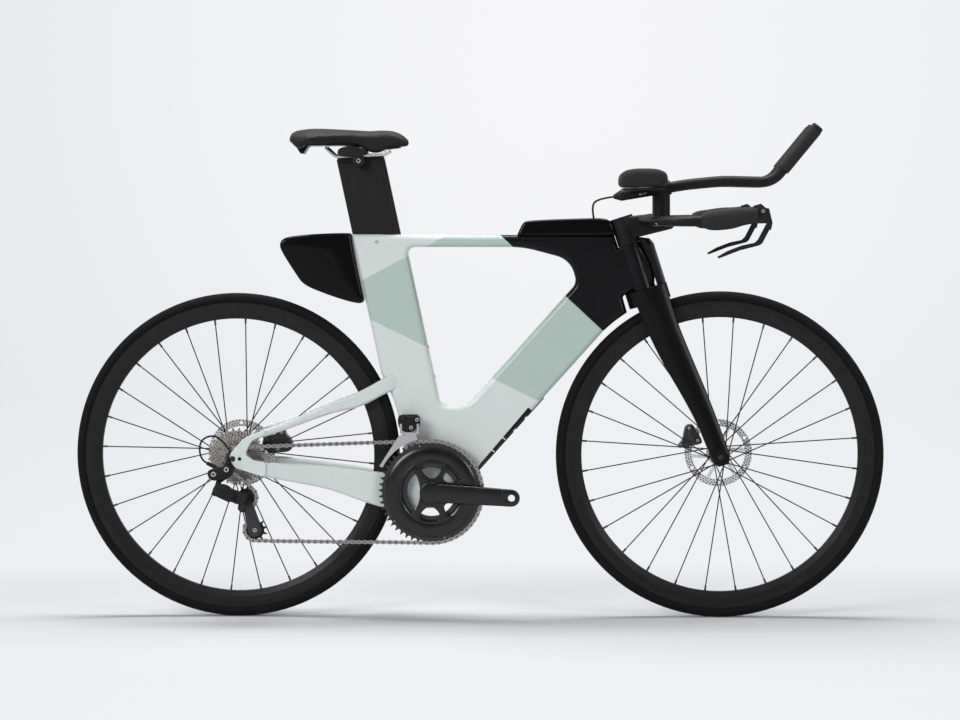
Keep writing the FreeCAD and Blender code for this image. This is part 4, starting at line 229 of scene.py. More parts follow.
def framePaint(setup):
    paint = Finish("framePaint", setup["constants"])
    soft = setup["edgeSoftness"]

    def rightOf(edge):
        (x0, z0), (x1, z1) = setup[edge]
        length = math.hypot(x1 - x0, z1 - z0)
        across = (paint.x - x0) * ((z1 - z0) / length) - (paint.z - z0) * ((x1 - x0) / length)
        return paint.step(across, -soft, soft)

    def guardBand():
        (x0, z0), (x1, z1) = setup["bandFoot"], setup["bandTop"]
        length = math.hypot(x1 - x0, z1 - z0)
        wayX, wayZ = (x1 - x0) / length, (z1 - z0) / length
        along = (paint.x - x0) * wayX + (paint.z - z0) * wayZ
        above = (paint.z - z0) * wayX - (paint.x - x0) * wayZ
        band = 1 - paint.step(above, setup["bandWidth"] - soft, setup["bandWidth"] + soft)
        band = band * paint.step(along, setup["bandStart"] - soft, setup["bandStart"] + soft)
        band = band * (1 - paint.step(along, length - soft, length + soft))
        for place in setup["bandBreaks"]:
            band = band * (1 - paint.line(along, place, setup["breakHalfWidth"]))
        return band

    inMint = rightOf("upperEdge") * rightOf("lowerEdge")
    inBlack = paint.sum("MAXIMUM", rightOf("blackEdge"), guardBand())
    peel = paint.noise(setup["peelScale"])
    mints = paint.tint(inMint, setup["pale"], setup["mint"])
    roughness = setup["roughness"] - inBlack * setup["blackSmoother"]
    return paint.use({
        "Base Color": paint.tint(inBlack, mints, setup["black"]),
        "Roughness": roughness + peel * setup["peelRoughness"],
        "Coat Weight": setup["coat"] - inBlack * setup["blackLessCoat"],
        "Normal": paint.bump(peel, *setup["bump"]),
    })


# plain finishes: tone and roughness drift over the surface, under a fine grain
# noises are given as scale and detail, bumps as strength and depth
metalBase = {
    "constants": {"Metallic": 1.0}, "drift": (45.0, 3.0), "grain": (1300.0, 1.0),
    "spread": 0.12, "bump": (0.06, 0.0002),
}
rubberBase = {
    "constants": {"Specular IOR Level": 0.16}, "drift": (18.0, 4.0), "roughness": 0.62,
    "spread": 0.18, "grainRoughens": True,
}
plainSetup = {
    "carbonGloss": {   # lacquered, with faint long fibres
        "constants": {"Coat Weight": 0.08, "Coat Roughness": 0.05, "Specular IOR Level": 0.09},
        "stretch": (14.0, 14.0, 1.0), "drift": (60.0, 3.0), "grain": (380.0, 2.0),
        "tones": (shade(0.0025), shade(0.006)), "roughness": 0.24, "spread": 0.1,
        "bump": (0.05, 0.0004)},
    "carbonSatin": {
        "constants": {"Specular IOR Level": 0.14},
        "stretch": (1.0, 9.0, 9.0), "drift": (70.0, 3.0), "grain": (900.0, 2.0),
        "tones": (shade(0.007), shade(0.014)), "roughness": 0.40, "spread": 0.14,
        "bump": (0.08, 0.0003)},
    "mouldedTrim": {   # textured plastic of guards and small covers
        "constants": {"Specular IOR Level": 0.14},
        "drift": (25.0, 4.0), "grain": (1500.0, 1.0),
        "tones": (shade(0.009), shade(0.017)), "roughness": 0.46, "spread": 0.16,
        "bump": (0.18, 0.0003)},
    "darkAlloy": {**metalBase, "tones": (shade(0.05), shade(0.075)), "roughness": 0.30},
    "crankAlloy": {**metalBase, "tones": (shade(0.032), shade(0.048)), "roughness": 0.20},
    "brightSteel": {
        **metalBase, "tones": (shade(0.48, 0.01), shade(0.62, 0.01)), "roughness": 0.20},
    "chainSteel": {
        **metalBase, "tones": (shade(0.24, 0.03), shade(0.42, 0.03)), "roughness": 0.24},
    "pinSteel": {
        **metalBase, "tones": (shade(0.03, 0.03), shade(0.07, 0.03)), "roughness": 0.34},
    "spokeSteel": {**metalBase, "tones": (shade(0.03), shade(0.05)), "roughness": 0.28},
    "gripRubber": {
        **rubberBase, "tones": (shade(0.0168), shade(0.02625)), "grain": (700.0, 2.0),
        "bump": (0.3, 0.0004)},
    "brakePads": {
        **rubberBase, "tones": (shade(0.016), shade(0.025)), "grain": (500.0, 2.0),
        "bump": (0.2, 0.0004)},
    "cableSleeve": {
        **rubberBase, "tones": (shade(0.0112), shade(0.0175)), "grain": (900.0, 2.0),
        "bump": (0.12, 0.0004)},
}


def plainFinish(name, setup):
    finish = Finish(name, setup["constants"])
    place = finish.stretched(setup["stretch"]) if "stretch" in setup else None
    drift = finish.noise(*setup["drift"], place)
    grain = finish.noise(*setup["grain"])
    roughening = grain if setup.get("grainRoughens") else drift
    return finish.use({
        "Base Color": finish.tint(drift, *setup["tones"]),
        "Roughness": setup["roughness"] + roughening * setup["spread"],
        "Normal": finish.bump(grain, *setup["bump"]),
    })


boxSetup = {
    "constants": {"Coat Weight": 0.16, "Coat Roughness": 0.04, "Specular IOR Level": 0.06},
    "rearLidHeight": 0.60,
    "topLidHeight": 0.56,
    "lidLine": 0.0012,
    "tones": (shade(0.002), shade(0.0005)),
    "roughness": 0.2,
    "seamRoughness": 0.4,
    "peelScale": 300.0,
    "peelRoughness": 0.08,
    "bump": (0.5, 0.0008),
}


def glossBox(name, node, lidShare, setup):
    # black lacquered box with a parting line below its lid
    box = Finish(name, setup["constants"])
    low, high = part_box(node)
    lidLevel = low.z + (high.z - low.z) * lidShare
    seam = box.line(box.z, lidLevel, setup["lidLine"])
    peel = box.noise(setup["peelScale"])
    roughness = setup["roughness"] + peel * setup["peelRoughness"]
    return box.use({
        "Base Color": box.tint(seam, *setup["tones"]),
        "Roughness": roughness + seam * setup["seamRoughness"],
        "Normal": box.bump(1 - seam, *setup["bump"]),
    })


def wheelPolar(finish, node):
    # distance from the axle and turn around it
    low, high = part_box(node)
    along = finish.x - (low.x + high.x) / 2
    up = finish.z - (low.z + high.z) / 2
    reach = (along * along + up * up) ** 0.5
    turn = finish.sum("ARCTAN2", up, along)
    return reach, turn


tyreSetup = {
    "constants": {"Specular IOR Level": 0.1},
    "treadHalfWidth": 0.0085,
    "treadFlatShare": 0.9,
    "treadRows": 260,
    "treadSlant": 400,
    "rowEdge": (0.35, 0.8),
    "casing": (140.0, 3.0),
    "casingBump": 0.25,
    "dust": (26.0, 4.0),
    "tones": (shade(0.004), shade(0.008)),
    "roughness": 0.62,
    "spread": 0.2,
    "bump": (0.35, 0.0006),
}


def tyreRubber(name, node, setup):
    rubber = Finish(name, setup["constants"])
    turn = wheelPolar(rubber, node)[1]
    wide = setup["treadHalfWidth"]
    onTread = 1 - rubber.step(abs(rubber.y), wide * setup["treadFlatShare"], wide)
    slant = turn * setup["treadRows"] + abs(rubber.y) * setup["treadSlant"]
    rows = rubber.step(rubber.sum("SINE", slant, 0.0), *setup["rowEdge"])
    casing = rubber.noise(*setup["casing"])
    dust = rubber.noise(*setup["dust"])
    return rubber.use({
        "Base Color": rubber.tint(dust, *setup["tones"]),
        "Roughness": setup["roughness"] + casing * setup["spread"],
        "Normal": rubber.bump(casing * setup["casingBump"] - rows * onTread, *setup["bump"]),
    })


rimSetup = {
    "constants": {"Coat Weight": 0.05, "Coat Roughness": 0.2, "Specular IOR Level": 0.14},
    "plies": (9.0, 3.0),
    "plyStretch": (18, 3, 6),   # outwards, around and across
    "grainScale": 700.0,
    "tones": (shade(0.007), shade(0.016)),
    "roughness": 0.38,
    "spread": 0.12,
    "bump": (0.06, 0.0003),
}


def rimCarbon(name, node, setup):
    rim = Finish(name, setup["constants"])
    ways = (*wheelPolar(rim, node), rim.y)
    place = rim.node("CombineXYZ", {}, {
        number: way * scale for number, (way, scale) in enumerate(zip(ways, setup["plyStretch"]))
    })
    plies = rim.noise(*setup["plies"], place)
    grain = rim.noise(setup["grainScale"])
    return rim.use({
        "Base Color": rim.tint(plies, *setup["tones"]),
        "Roughness": setup["roughness"] + plies * setup["spread"],
        "Normal": rim.bump(grain, *setup["bump"]),
    })


ringWaver = 0.6


def turnedRings(finish, reach, turn, scale):
    # fine rings around an axle, which waver a little
    place = finish.node("CombineXYZ", {}, {0: reach * scale, 1: turn * ringWaver})
    return finish.noise(1.0, 2.0, place)


ringSetup = {
    "constants": {"Metallic": 0.9},
    "ringScale": 500.0,
    "tones": (shade(0.042), shade(0.062)),
    "smudge": (40.0, 3.0),
    "roughness": 0.24,
    "spread": 0.16,
    "bump": (0.12, 0.0002),
}


def ringAlloy(setup):
    metal = Finish("ringAlloy", setup["constants"])
    rings = turnedRings(metal, *wheelPolar(metal, "big_chainring"), setup["ringScale"])
    smudge = metal.noise(*setup["smudge"])
    return metal.use({
        "Base Color": metal.tint(rings, *setup["tones"]),
        "Roughness": setup["roughness"] + smudge * setup["spread"],
        "Normal": metal.bump(rings, *setup["bump"]),
    })


rotorSetup = {
    "constants": {"Metallic": 0.4},
    "innerShare": 0.79,   # brake track, in shares of the radius
    "outerShare": 0.985,
    "trackSoftness": 0.0002,
    "rows": 3,
    "holesAround": 60,
    "holeSize": 0.36,
    "holeSoftness": 0.06,
    "ringScale": 1400,
    "tones": (shade(0.74), shade(0.92)),
    # painted shade in the cooling holes
    "paintedHoleShade": shade(0.16),
    "roughness": 0.26,
    "ringRoughness": 0.1,
    "holeRoughness": 0.4,
    "ringBump": 0.15,
    "bump": (0.4, 0.0006),
}


def rotorSteel(name, node, setup):
    # brushed rings with rows of cooling holes in the brake track, the holes painted dark as painted
    # shade
    rotor = Finish(name, setup["constants"])
    low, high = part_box(node)
    radius = (high.z - low.z) / 2
    reach, turn = wheelPolar(rotor, node)
    start = radius * setup["innerShare"]
    end = radius * setup["outerShare"]
    soft = setup["trackSoftness"]
    row = (reach - start) * (setup["rows"] / (end - start))
    column = turn * (setup["holesAround"] / math.tau) + rotor.sum("FLOOR", row, 0.0) * 0.5
    aside = rotor.sum("FRACT", column, 0.0) - 0.5
    above = rotor.sum("FRACT", row, 0.0) - 0.5
    apart = (aside * aside + above * above) ** 0.5
    hole = 1 - rotor.step(apart, setup["holeSize"] - setup["holeSoftness"], setup["holeSize"])
    inTrack = rotor.step(reach, start - soft, start) * (1 - rotor.step(reach, end, end + soft))
    hole = hole * inTrack
    rings = turnedRings(rotor, reach, turn, setup["ringScale"])
    roughness = setup["roughness"] + rings * setup["ringRoughness"]
    return rotor.use({
        "Base Color": rotor.tint(hole, rotor.tint(rings, *setup["tones"]), setup["paintedHoleShade"]),
        "Roughness": roughness + hole * setup["holeRoughness"],
        "Normal": rotor.bump(rings * setup["ringBump"] - hole, *setup["bump"]),
    })


sprocketSetup = {
    "constants": {"Metallic": 0.7},
    "first": 0.0205,   # radius of the first ring, and the step to the next
    "pitch": 0.0037,
    "gap": 0.06,
    "gapSoftness": 0.2,
    "teethAround": 84,
    "teethShift": 1.7,
    "toothEdge": (-0.3, 0.5),
    "toothStart": (0.25, 0.5),
    "smudge": (60.0, 3.0),
    "tones": (shade(0.50, 0.08), shade(0.82, 0.09)),
    # painted shade for the gaps between rings and between the teeth
    "paintedGapShade": shade(0.03, 0.05),
    "roughness": 0.26,
    "spread": 0.16,
    "gapRoughness": 0.2,
    "bump": (0.35, 0.0008),
}


def sprocketSteel(setup):
    # warm steel rings, with painted shade in the gaps between the rings and between the teeth
    metal = Finish("sprocketSteel", setup["constants"])
    reach, turn = wheelPolar(metal, "cassette")
    row = (reach - setup["first"]) / setup["pitch"]
    across = metal.sum("FRACT", row, 0.0)
    slant = turn * setup["teethAround"] + metal.sum("FLOOR", row, 0.0) * setup["teethShift"]
    teeth = metal.step(metal.sum("SINE", slant, 0.0), *setup["toothEdge"])
    gap = 1 - metal.step(across, setup["gap"], setup["gap"] + setup["gapSoftness"])
    nearTeeth = metal.step(across, *setup["toothStart"])
    # painted shade: darker in the gaps between rings and near the roots between teeth
    paintedShade = metal.sum("MAXIMUM", gap, nearTeeth * (1 - teeth))
    smudge = metal.noise(*setup["smudge"])
    roughness = setup["roughness"] + smudge * setup["spread"]
    return metal.use({
        "Base Color": metal.tint(paintedShade, metal.tint(smudge, *setup["tones"]), setup["paintedGapShade"]),
        "Roughness": roughness + paintedShade * setup["gapRoughness"],
        "Normal": metal.bump(1 - paintedShade, *setup["bump"]),
    })


padFabricSetup = {
    "constants": {"Sheen Weight": 0.08, "Sheen Roughness": 0.5, "Specular IOR Level": 0.12},
    "cellScale": 520.0,
    "nap": (30.0, 3.0),
    "tones": (shade(0.016), shade(0.026)),
    "roughness": 0.72,
    "spread": 0.15,
    "bump": (0.25, 0.0006),
}
saddleSetup = {
    "constants": {"Specular IOR Level": 0.2},
    "cellScale": 900.0,
    "cellBump": 0.3,
    "nap": (35.0, 3.0),
    "tones": (shade(0.006), shade(0.012)),
    "roughness": 0.50,
    "spread": 0.14,
    "bump": (0.4, 0.0007),
    "panelHalfWidth": 0.016,
    "seamHalfWidth": 0.0011,
}


def cellCover(name, setup):
    # a cover of small cells, knitted or grained, with seams where it has panels
    cover = Finish(name, setup["constants"])
    height = cover.node("TexVoronoi", {}, {"Vector": cover.place, "Scale": setup["cellScale"]})
    nap = cover.noise(*setup["nap"])
    if "panelHalfWidth" in setup:
        seam = cover.line(abs(cover.y), setup["panelHalfWidth"], setup["seamHalfWidth"])
        height = height * setup["cellBump"] - seam
    return cover.use({
        "Base Color": cover.tint(nap, *setup["tones"]),
        "Roughness": setup["roughness"] + nap * setup["spread"],
        "Normal": cover.bump(height, *setup["bump"]),
    })


plain = {name: plainFinish(name, setup) for name, setup in plainSetup.items()}
trim, satin = plain["mouldedTrim"], plain["carbonSatin"]
steel, darkAlloy, crankAlloy = plain["brightSteel"], plain["darkAlloy"], plain["crankAlloy"]
padFabric = cellCover("padFabric", padFabricSetup)
seatCover = cellCover("saddleCover", saddleSetup)
rearBoxGloss = glossBox("rearBox", "rear_storage_box", boxSetup["rearLidHeight"], boxSetup)
topBoxGloss = glossBox("topBox", "top_tube_box", boxSetup["topLidHeight"], boxSetup)

finishes = {
    framePaint(paintSetup): ["front_triangle", "right_stays", "left_stays"],
    plain["carbonGloss"]: ["fork", "nose_piece", "saddle_shell"],
    satin: ["seatpost", "base_bar", "extension_risers", "arm_cups", "extensions"],
    trim: ["down_tube_guard", "mech_upper_knuckle", "mech_lower_knuckle", "mech_outer_link",
           "guide_pulley", "tension_pulley", "front_mech_mount", "right_brake_lever",
           "left_brake_lever", "mech_inner_link", "extension_plugs"],
    plain["gripRubber"]: ["extension_grips", "bar_grips"],
    plain["brakePads"]: ["front_brake_pads", "rear_brake_pads"],
    darkAlloy: ["bottom_bracket_bearings", "headset_bearings", "saddle_clamp",
                "derailleur_hanger", "rear_axle", "front_axle", "rear_caliper",
                "front_caliper", "small_chainring", "freehub_body", "front_hub", "rear_hub",
                "mech_cage"],
    crankAlloy: ["right_crank", "left_crank"],
    steel: ["front_mech_cage", "saddle_rails"],
    plain["chainSteel"]: ["chain"],
    plain["spokeSteel"]: ["front_spokes", "rear_spokes"],
    plain["cableSleeve"]: ["rear_mech_cable", "bar_cables"],
    seatCover: ["saddle_pad"],
    padFabric: ["arm_pads"],
    rearBoxGloss: ["rear_storage_box"],
    topBoxGloss: ["top_tube_box"],
    ringAlloy(ringSetup): ["big_chainring"],
    sprocketSteel(sprocketSetup): ["cassette"],
}
for end in ("front", "rear"):
    finishes |= {
        tyreRubber(end + "Tyre", end + "_tyre", tyreSetup): [end + "_tyre"],
        rimCarbon(end + "Rim", end + "_rim", rimSetup): [end + "_rim"],
        rotorSteel(end + "Rotor", end + "_rotor", rotorSetup): [end + "_rotor"],
    }
for material, names in finishes.items():
    for name in names:
        nodes[name].data.materials.clear()
        nodes[name].data.materials.append(material)
print("finishes given to", sum(len(names) for names in finishes.values()), "nodes")


def addPiece(name, mesh, material=None):
    piece = bpy.data.objects.new(name, mesh)
    scene.collection.objects.link(piece)
    if material:
        mesh.materials.clear()
        mesh.materials.append(material)
    return piece


def finalMesh(piece):
    # a plain mesh of a piece, with its curve or its modifiers worked out
    bpy.context.view_layer.update()
    graph = bpy.context.evaluated_depsgraph_get()
    return bpy.data.meshes.new_from_object(piece.evaluated_get(graph))


def attach(piece, body, replaced=None):
    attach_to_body(piece, body)
    if replaced:
        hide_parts(replaced)


# cables, along the routes of their solids
cableSetup = {
    "diameter": 0.004,
    "shiftRoute": [
        (-0.5017, -0.0775, 0.3482), (-0.522, -0.080, 0.386), (-0.563, -0.086, 0.379),
        (-0.564, -0.0866, 0.336), (-0.54927, -0.0866, 0.32813),
    ],
    "barRoute": [
        (0.28031, -0.052, 0.86592), (0.2493, -0.04503, 0.86197),
        (0.23528, -0.01799, 0.84793), (0.24027, -0.00801, 0.8227),
    ],
    "shiftLength": 0.128,
    "barLength": 0.087,
    "stepsAlong": 16,
    "stepsAround": 3,
}


def addSpline(curve, places, cyclic):
    spline = curve.splines.new("NURBS")
    spline.points.add(len(places) - 1)
    for point, place in zip(spline.points, places):
        point.co = (*place, 1.0)
    spline.order_u = 3
    spline.use_cyclic_u = cyclic
    spline.use_endpoint_u = not cyclic


def cableCurve(name, route, thickness, setup):
    curve = bpy.data.curves.new(name, "CURVE")
    curve.dimensions = "3D"
    curve.resolution_u = setup["stepsAlong"]
    curve.bevel_depth = thickness / 2
    curve.bevel_resolution = setup["stepsAround"]
    curve.use_fill_caps = True
    addSpline(curve, route, False)
    curve.materials.append(plain["cableSleeve"])
    return addPiece(name, curve)


def addShiftCable(setup):
    cable = cableCurve("shiftCable", setup["shiftRoute"], setup["diameter"], setup)
    attach(cable, "frame", "rear_mech_cable")


def addBarCable(name, route, setup):
    # a bar cable bends with the steering; here it is a plain tube mesh along its spline, fixed in
    # place
    bare = cableCurve(name + "Line", route, 0.0, setup)
    path = [tuple(vertex.co) for vertex in finalMesh(bare).vertices]
    bpy.data.objects.remove(bare)
    curve = cableCurve(name + "Curve", route, setup["diameter"], setup)
    tube = addPiece(name, finalMesh(curve), plain["cableSleeve"])
    bpy.data.objects.remove(curve)
    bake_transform(tube)
    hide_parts("bar_cables")


addShiftCable(cableSetup)
addBarCable("rightBarCable", cableSetup["barRoute"], cableSetup)
addBarCable("leftBarCable", [(x, -y, z) for x, y, z in cableSetup["barRoute"]], cableSetup)
print("cables laid")


mergeDistance = 1e-5   # joins the corners of a solid's loose triangles


# padded pieces, swelled by cloth simulation
armPadSetup = {
    "node": "arm_pads", "body": "steering", "slot": "foam", "finish": padFabric, "shrink": 0.002,
    "cap": 0.0035, "voxel": 0.004, "seated": 0.2, "fill": 0.8, "rise": 1.24,
}
padSetup = {
    "saddleCover": {
        "node": "saddle_pad", "body": "frame", "slot": "saddle_cover", "finish": seatCover,
        "shrink": 0.0018, "cap": 0.003, "voxel": 0.004, "seated": 0.3, "fill": 0.8,
        "lift": 0.0025, "skirt": 1.22,
        "droops": [{"x": -0.3600, "reach": 0.020, "depth": 0.017},
                   {"x": -0.2131, "reach": 0.036, "depth": 0.011}],
    },
    "rightArmPad": {**armPadSetup, "side": -1},
    "leftArmPad": {**armPadSetup, "side": 1},
}
clothSetup = {"pressure": 4.0, "lastFrame": 20, "smoothing": 0.5, "smoothSteps": 4}


def applied(piece):
    mesh = finalMesh(piece)
    piece.modifiers.clear()
    piece.data = mesh


def swell(piece, setup):
    rest = [vertex.co.copy() for vertex in piece.data.vertices]
    lowest = min(place.z for place in rest)
    highest = max(place.z for place in rest)
    seat = piece.vertex_groups.new(name="seat")
    for number, place in enumerate(rest):
        if place.z < lowest + (highest - lowest) * setup["seated"]:
            seat.add([number], 1.0, "REPLACE")
    cloth = piece.modifiers.new("swell", "CLOTH")
    cloth.settings.use_pressure = True
    cloth.settings.uniform_pressure_force = clothSetup["pressure"]
    cloth.settings.effector_weights.gravity = 0.0
    cloth.settings.vertex_group_mass = "seat"
    cloth.point_cache.frame_start = 1
    cloth.point_cache.frame_end = clothSetup["lastFrame"]
    for number in range(1, clothSetup["lastFrame"] + 1):
        scene.frame_set(number)
    applied(piece)
    scene.frame_set(1)
    for vertex, place in zip(piece.data.vertices, rest):
        moved = vertex.co - place
        if moved.length > setup["cap"]:
            vertex.co = place + moved.normalized() * setup["cap"]


def dropSkirt(vertices, setup):
    # the saddle's sides hang lower at its tail and behind its nose
    top = max(vertex.co.z for vertex in vertices)
    deep = top - min(vertex.co.z for vertex in vertices)
    for vertex in vertices:
        low = (top - vertex.co.z) / deep
        fall = low * deep * setup["skirt"]
        for droop in setup["droops"]:
            apart = min(1.0, abs(vertex.co.x - droop["x"]) / droop["reach"])
            fall += droop["depth"] * (1 - apart * apart) ** 2 * low * low
        vertex.co.z = top + setup["lift"] - fall


def raiseTop(vertices, share):
    foot = min(vertex.co.z for vertex in vertices)
    for vertex in vertices:
        vertex.co.z = foot + (vertex.co.z - foot) * share


def addPad(name, setup):
    mesh = bpy.data.meshes.new(name)
    shape = bmesh.new()
    shape.from_mesh(nodes[setup["node"]].data)
    bmesh.ops.remove_doubles(shape, verts=shape.verts, dist=mergeDistance)
    if "side" in setup:
        other = [vertex for vertex in shape.verts if vertex.co.y * setup["side"] < 0]
        bmesh.ops.delete(shape, geom=other, context="VERTS")
    shape.normal_update()
    for vertex in shape.verts:
        vertex.co -= vertex.normal * setup["shrink"]
    shape.to_mesh(mesh)
    shape.free()
    piece = addPiece(name, mesh)
    remesh = piece.modifiers.new("voxels", "REMESH")
    remesh.mode = "VOXEL"
    remesh.voxel_size = setup["voxel"]
    applied(piece)
    swell(piece, setup)
    smooth = piece.modifiers.new("smooth", "SMOOTH")
    smooth.factor = clothSetup["smoothing"]
    smooth.iterations = clothSetup["smoothSteps"]
    finer = piece.modifiers.new("finer", "SUBSURF")
    finer.levels = 1
    finer.render_levels = 1
    applied(piece)
    if "droops" in setup:
        dropSkirt(piece.data.vertices, setup)
    if "rise" in setup:
        raiseTop(piece.data.vertices, setup["rise"])
    piece.vertex_groups.clear()
    piece.data.materials.clear()
    piece.data.materials.append(setup["finish"])
    piece.data.shade_smooth()
    attach(piece, setup["body"], setup["node"])
    print(name, "padded with", len(piece.data.polygons), "faces")


for name, setup in padSetup.items():
    addPad(name, setup)


# what repeats: one shape set on points by a node tree
def repeatTree(name, sizes, shape):
    tree = bpy.data.node_groups.new(name, "GeometryNodeTree")
    face = tree.interface
    face.new_socket("Geometry", in_out="INPUT", socket_type="NodeSocketGeometry")
    for size in sizes:
        face.new_socket(size, in_out="INPUT", socket_type="NodeSocketFloat")
    face.new_socket("Finish", in_out="INPUT", socket_type="NodeSocketMaterial")
    face.new_socket("Geometry", in_out="OUTPUT", socket_type="NodeSocketGeometry")
    given = tree.nodes.new("NodeGroupInput")
    ended = tree.nodes.new("NodeGroupOutput")

    def add(kind, settings, links):
        made = tree.nodes.new(kind)
        for key, value in settings.items():
            setattr(made, key, value)
        for key, value in links.items():
            if isinstance(value, bpy.types.NodeSocket):
                tree.links.new(value, made.inputs[key])
            else:
                made.inputs[key].default_value = value
        return made

    points = add("GeometryNodeMeshToPoints", {}, {"Mesh": given.outputs["Geometry"]})
    aim = add("GeometryNodeInputNamedAttribute", {"data_type": "FLOAT_VECTOR"}, {"Name": "aim"})
    turn = add("FunctionNodeAlignRotationToVector", {"axis": "Z"}, {"Vector": aim.outputs[0]})
    spread = add("GeometryNodeInstanceOnPoints", {}, {
        "Points": points.outputs[0],
        "Instance": shape(add, given.outputs),
        "Rotation": turn.outputs[0],
    })
    whole = add("GeometryNodeRealizeInstances", {}, {0: spread.outputs[0]})
    coloured = add("GeometryNodeSetMaterial", {}, {
        "Geometry": whole.outputs[0], "Material": given.outputs["Finish"],
    })
    tree.links.new(coloured.outputs[0], ended.inputs[0])
    return tree


formSetup = {
    "screwCorners": 12, "screwCrown": 0.84, "screwMouth": 0.6,
    "pinCorners": 8, "pinCrown": 0.75,
    "ribSteps": 28, "beadCorners": 6,
}


def disc(add, corners, radius):
    return add("GeometryNodeMeshCircle", {"fill_type": "NGON"},
               {"Vertices": corners, "Radius": radius})


def pulled(add, mesh, height, selection):
    return add("GeometryNodeExtrudeMesh", {}, {
        "Mesh": mesh, "Offset Scale": height, "Individual": False, **selection})


def narrowed(add, mesh, selection, share):
    return add("GeometryNodeScaleElements", {}, {"Geometry": mesh, "Scale": share, **selection})


def screwShape(add, sizes):
    # a round head with a turned edge and a key socket
    base = disc(add, formSetup["screwCorners"], sizes["Radius"])
    wall = pulled(add, base.outputs[0], sizes["Height"], {})
    rim = pulled(add, wall.outputs[0], sizes["Edge"], {"Selection": wall.outputs["Top"]})
    onRim = {"Selection": rim.outputs["Top"]}
    crown = narrowed(add, rim.outputs[0], onRim, formSetup["screwCrown"])
    ledge = pulled(add, crown.outputs[0], 0.0, onRim)
    onLedge = {"Selection": ledge.outputs["Top"]}
    mouth = narrowed(add, ledge.outputs[0], onLedge, formSetup["screwMouth"])
    return pulled(add, mouth.outputs[0], sizes["Socket"], onLedge).outputs[0]


def pinShape(add, sizes):
    base = disc(add, formSetup["pinCorners"], sizes["Radius"])
    head = pulled(add, base.outputs[0], sizes["Height"], {})
    onHead = {"Selection": head.outputs["Top"]}
    return narrowed(add, head.outputs[0], onHead, formSetup["pinCrown"]).outputs[0]


def ribShape(add, sizes):
    # a round bead that runs around a grip
    circle = "GeometryNodeCurvePrimitiveCircle"
    path = add(circle, {}, {"Resolution": formSetup["ribSteps"], "Radius": sizes["Radius"]})
    bead = add(circle, {}, {"Resolution": formSetup["beadCorners"], "Radius": sizes["Bead"]})
    swept = add("GeometryNodeCurveToMesh", {},
                {"Curve": path.outputs[0], "Profile Curve": bead.outputs[0]})
    return swept.outputs[0]


screwTree = repeatTree("screwHeads", ["Radius", "Height", "Edge", "Socket"], screwShape)
pinTree = repeatTree("chainPins", ["Radius", "Height"], pinShape)
ribTree = repeatTree("gripRibs", ["Radius", "Bead"], ribShape)


def repeated(name, tree, spots, sizes, material, body):
    mesh = bpy.data.meshes.new(name + "Points")
    mesh.from_pydata([place for place, aim in spots], [], [])
    aims = mesh.attributes.new("aim", "FLOAT_VECTOR", "POINT")
    for item, (place, aim) in zip(aims.data, spots):
        item.vector = aim
    holder = addPiece(name + "Points", mesh)
    modifier = holder.modifiers.new("repeat", "NODES")
    modifier.node_group = tree
    for item in tree.interface.items_tree:
        if item.in_out == "INPUT" and item.name in sizes:
            modifier[item.identifier] = sizes[item.name]
        if item.name == "Finish":
            modifier[item.identifier] = material
    made = finalMesh(holder)
    holder.modifiers.clear()
    bpy.data.objects.remove(holder)
    attach(addPiece(name, made), body)
    print(name, "set on", len(spots), "places")


def islands(node):
    # the corners of each separate body in a node
    shape = bmesh.new()
    shape.from_mesh(nodes[node].data)
    bmesh.ops.remove_doubles(shape, verts=shape.verts, dist=mergeDistance)
    seen = set()
    groups = []
    for start in shape.verts:
        if start.index in seen:
            continue
        seen.add(start.index)
        waiting = [start]
        group = []
        while waiting:
            vertex = waiting.pop()
            group.append(vertex.co.copy())
            for edge in vertex.link_edges:
                nextVertex = edge.other_vert(vertex)
                if nextVertex.index not in seen:
                    seen.add(nextVertex.index)
                    waiting.append(nextVertex)
        groups.append(group)
    shape.free()
    return groups


def meanOf(places):
    return sum(places, Vector()) / len(places)


def onSurface(node, start, way, sink):
    # where a line meets a piece's face, sunk a little, and the way that the face looks
    carrier = nodes[node] if node in nodes else scene.objects[node]
    hit, place, normal = carrier.ray_cast(Vector(start), Vector(way))[:3]
    if not hit:
        raise RuntimeError(f"nothing of {node} from {start} along {way}")
    return place - normal * sink, normal


nippleSetup = {
    "Radius": 0.0021, "Height": 0.010, "Edge": 0.0006, "Socket": -0.0002,
    "endBand": 0.003, "sink": 0.001,
}


def addNipples(wheel, setup):
    axle = meanOf(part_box(wheel + "_tyre"))
    spots = []
    for spoke in islands(wheel + "_spokes"):
        reaches = [(place - axle).length for place in spoke]
        limit = max(reaches) - setup["endBand"]
        end = meanOf([place for place, reach in zip(spoke, reaches) if reach > limit])
        inner = spoke[reaches.index(min(reaches))]
        aim = (inner - end).normalized()
        spots.append((end - aim * setup["sink"], aim))
    body = wheel + "_wheel"
    repeated(wheel + "Nipples", screwTree, spots, setup, darkAlloy, body)


addNipples("front", nippleSetup)
addNipples("rear", nippleSetup)


# grips: beads along the upturned ends of the extensions
ribSetup = {"pitch": 0.0048, "endShare": 0.08, "proud": 0.0002, "Bead": 0.0011}


def addGripRibs(setup):
    spots = []
    radii = []
    inside = 1 - 2 * setup["endShare"]
    for grip in islands("extension_grips"):
        far = max(grip, key=lambda place: (place - grip[0]).length)
        near = max(grip, key=lambda place: (place - far).length)
        middle = meanOf(grip)
        way = (far - near).normalized()
        spans = [(place - middle).dot(way) for place in grip]
        radii.append(min((place - middle - way * span).length for place, span in zip(grip, spans)))
        low, high = min(spans) * inside, max(spans) * inside
        for number in range(int((high - low) / setup["pitch"]) + 1):
            spots.append((middle + way * (low + number * setup["pitch"]), way))
    sizes = {"Radius": max(radii) + setup["proud"], "Bead": setup["Bead"]}
    repeated("gripRibs", ribTree, spots, sizes, plain["gripRubber"], "steering")


addGripRibs(ribSetup)


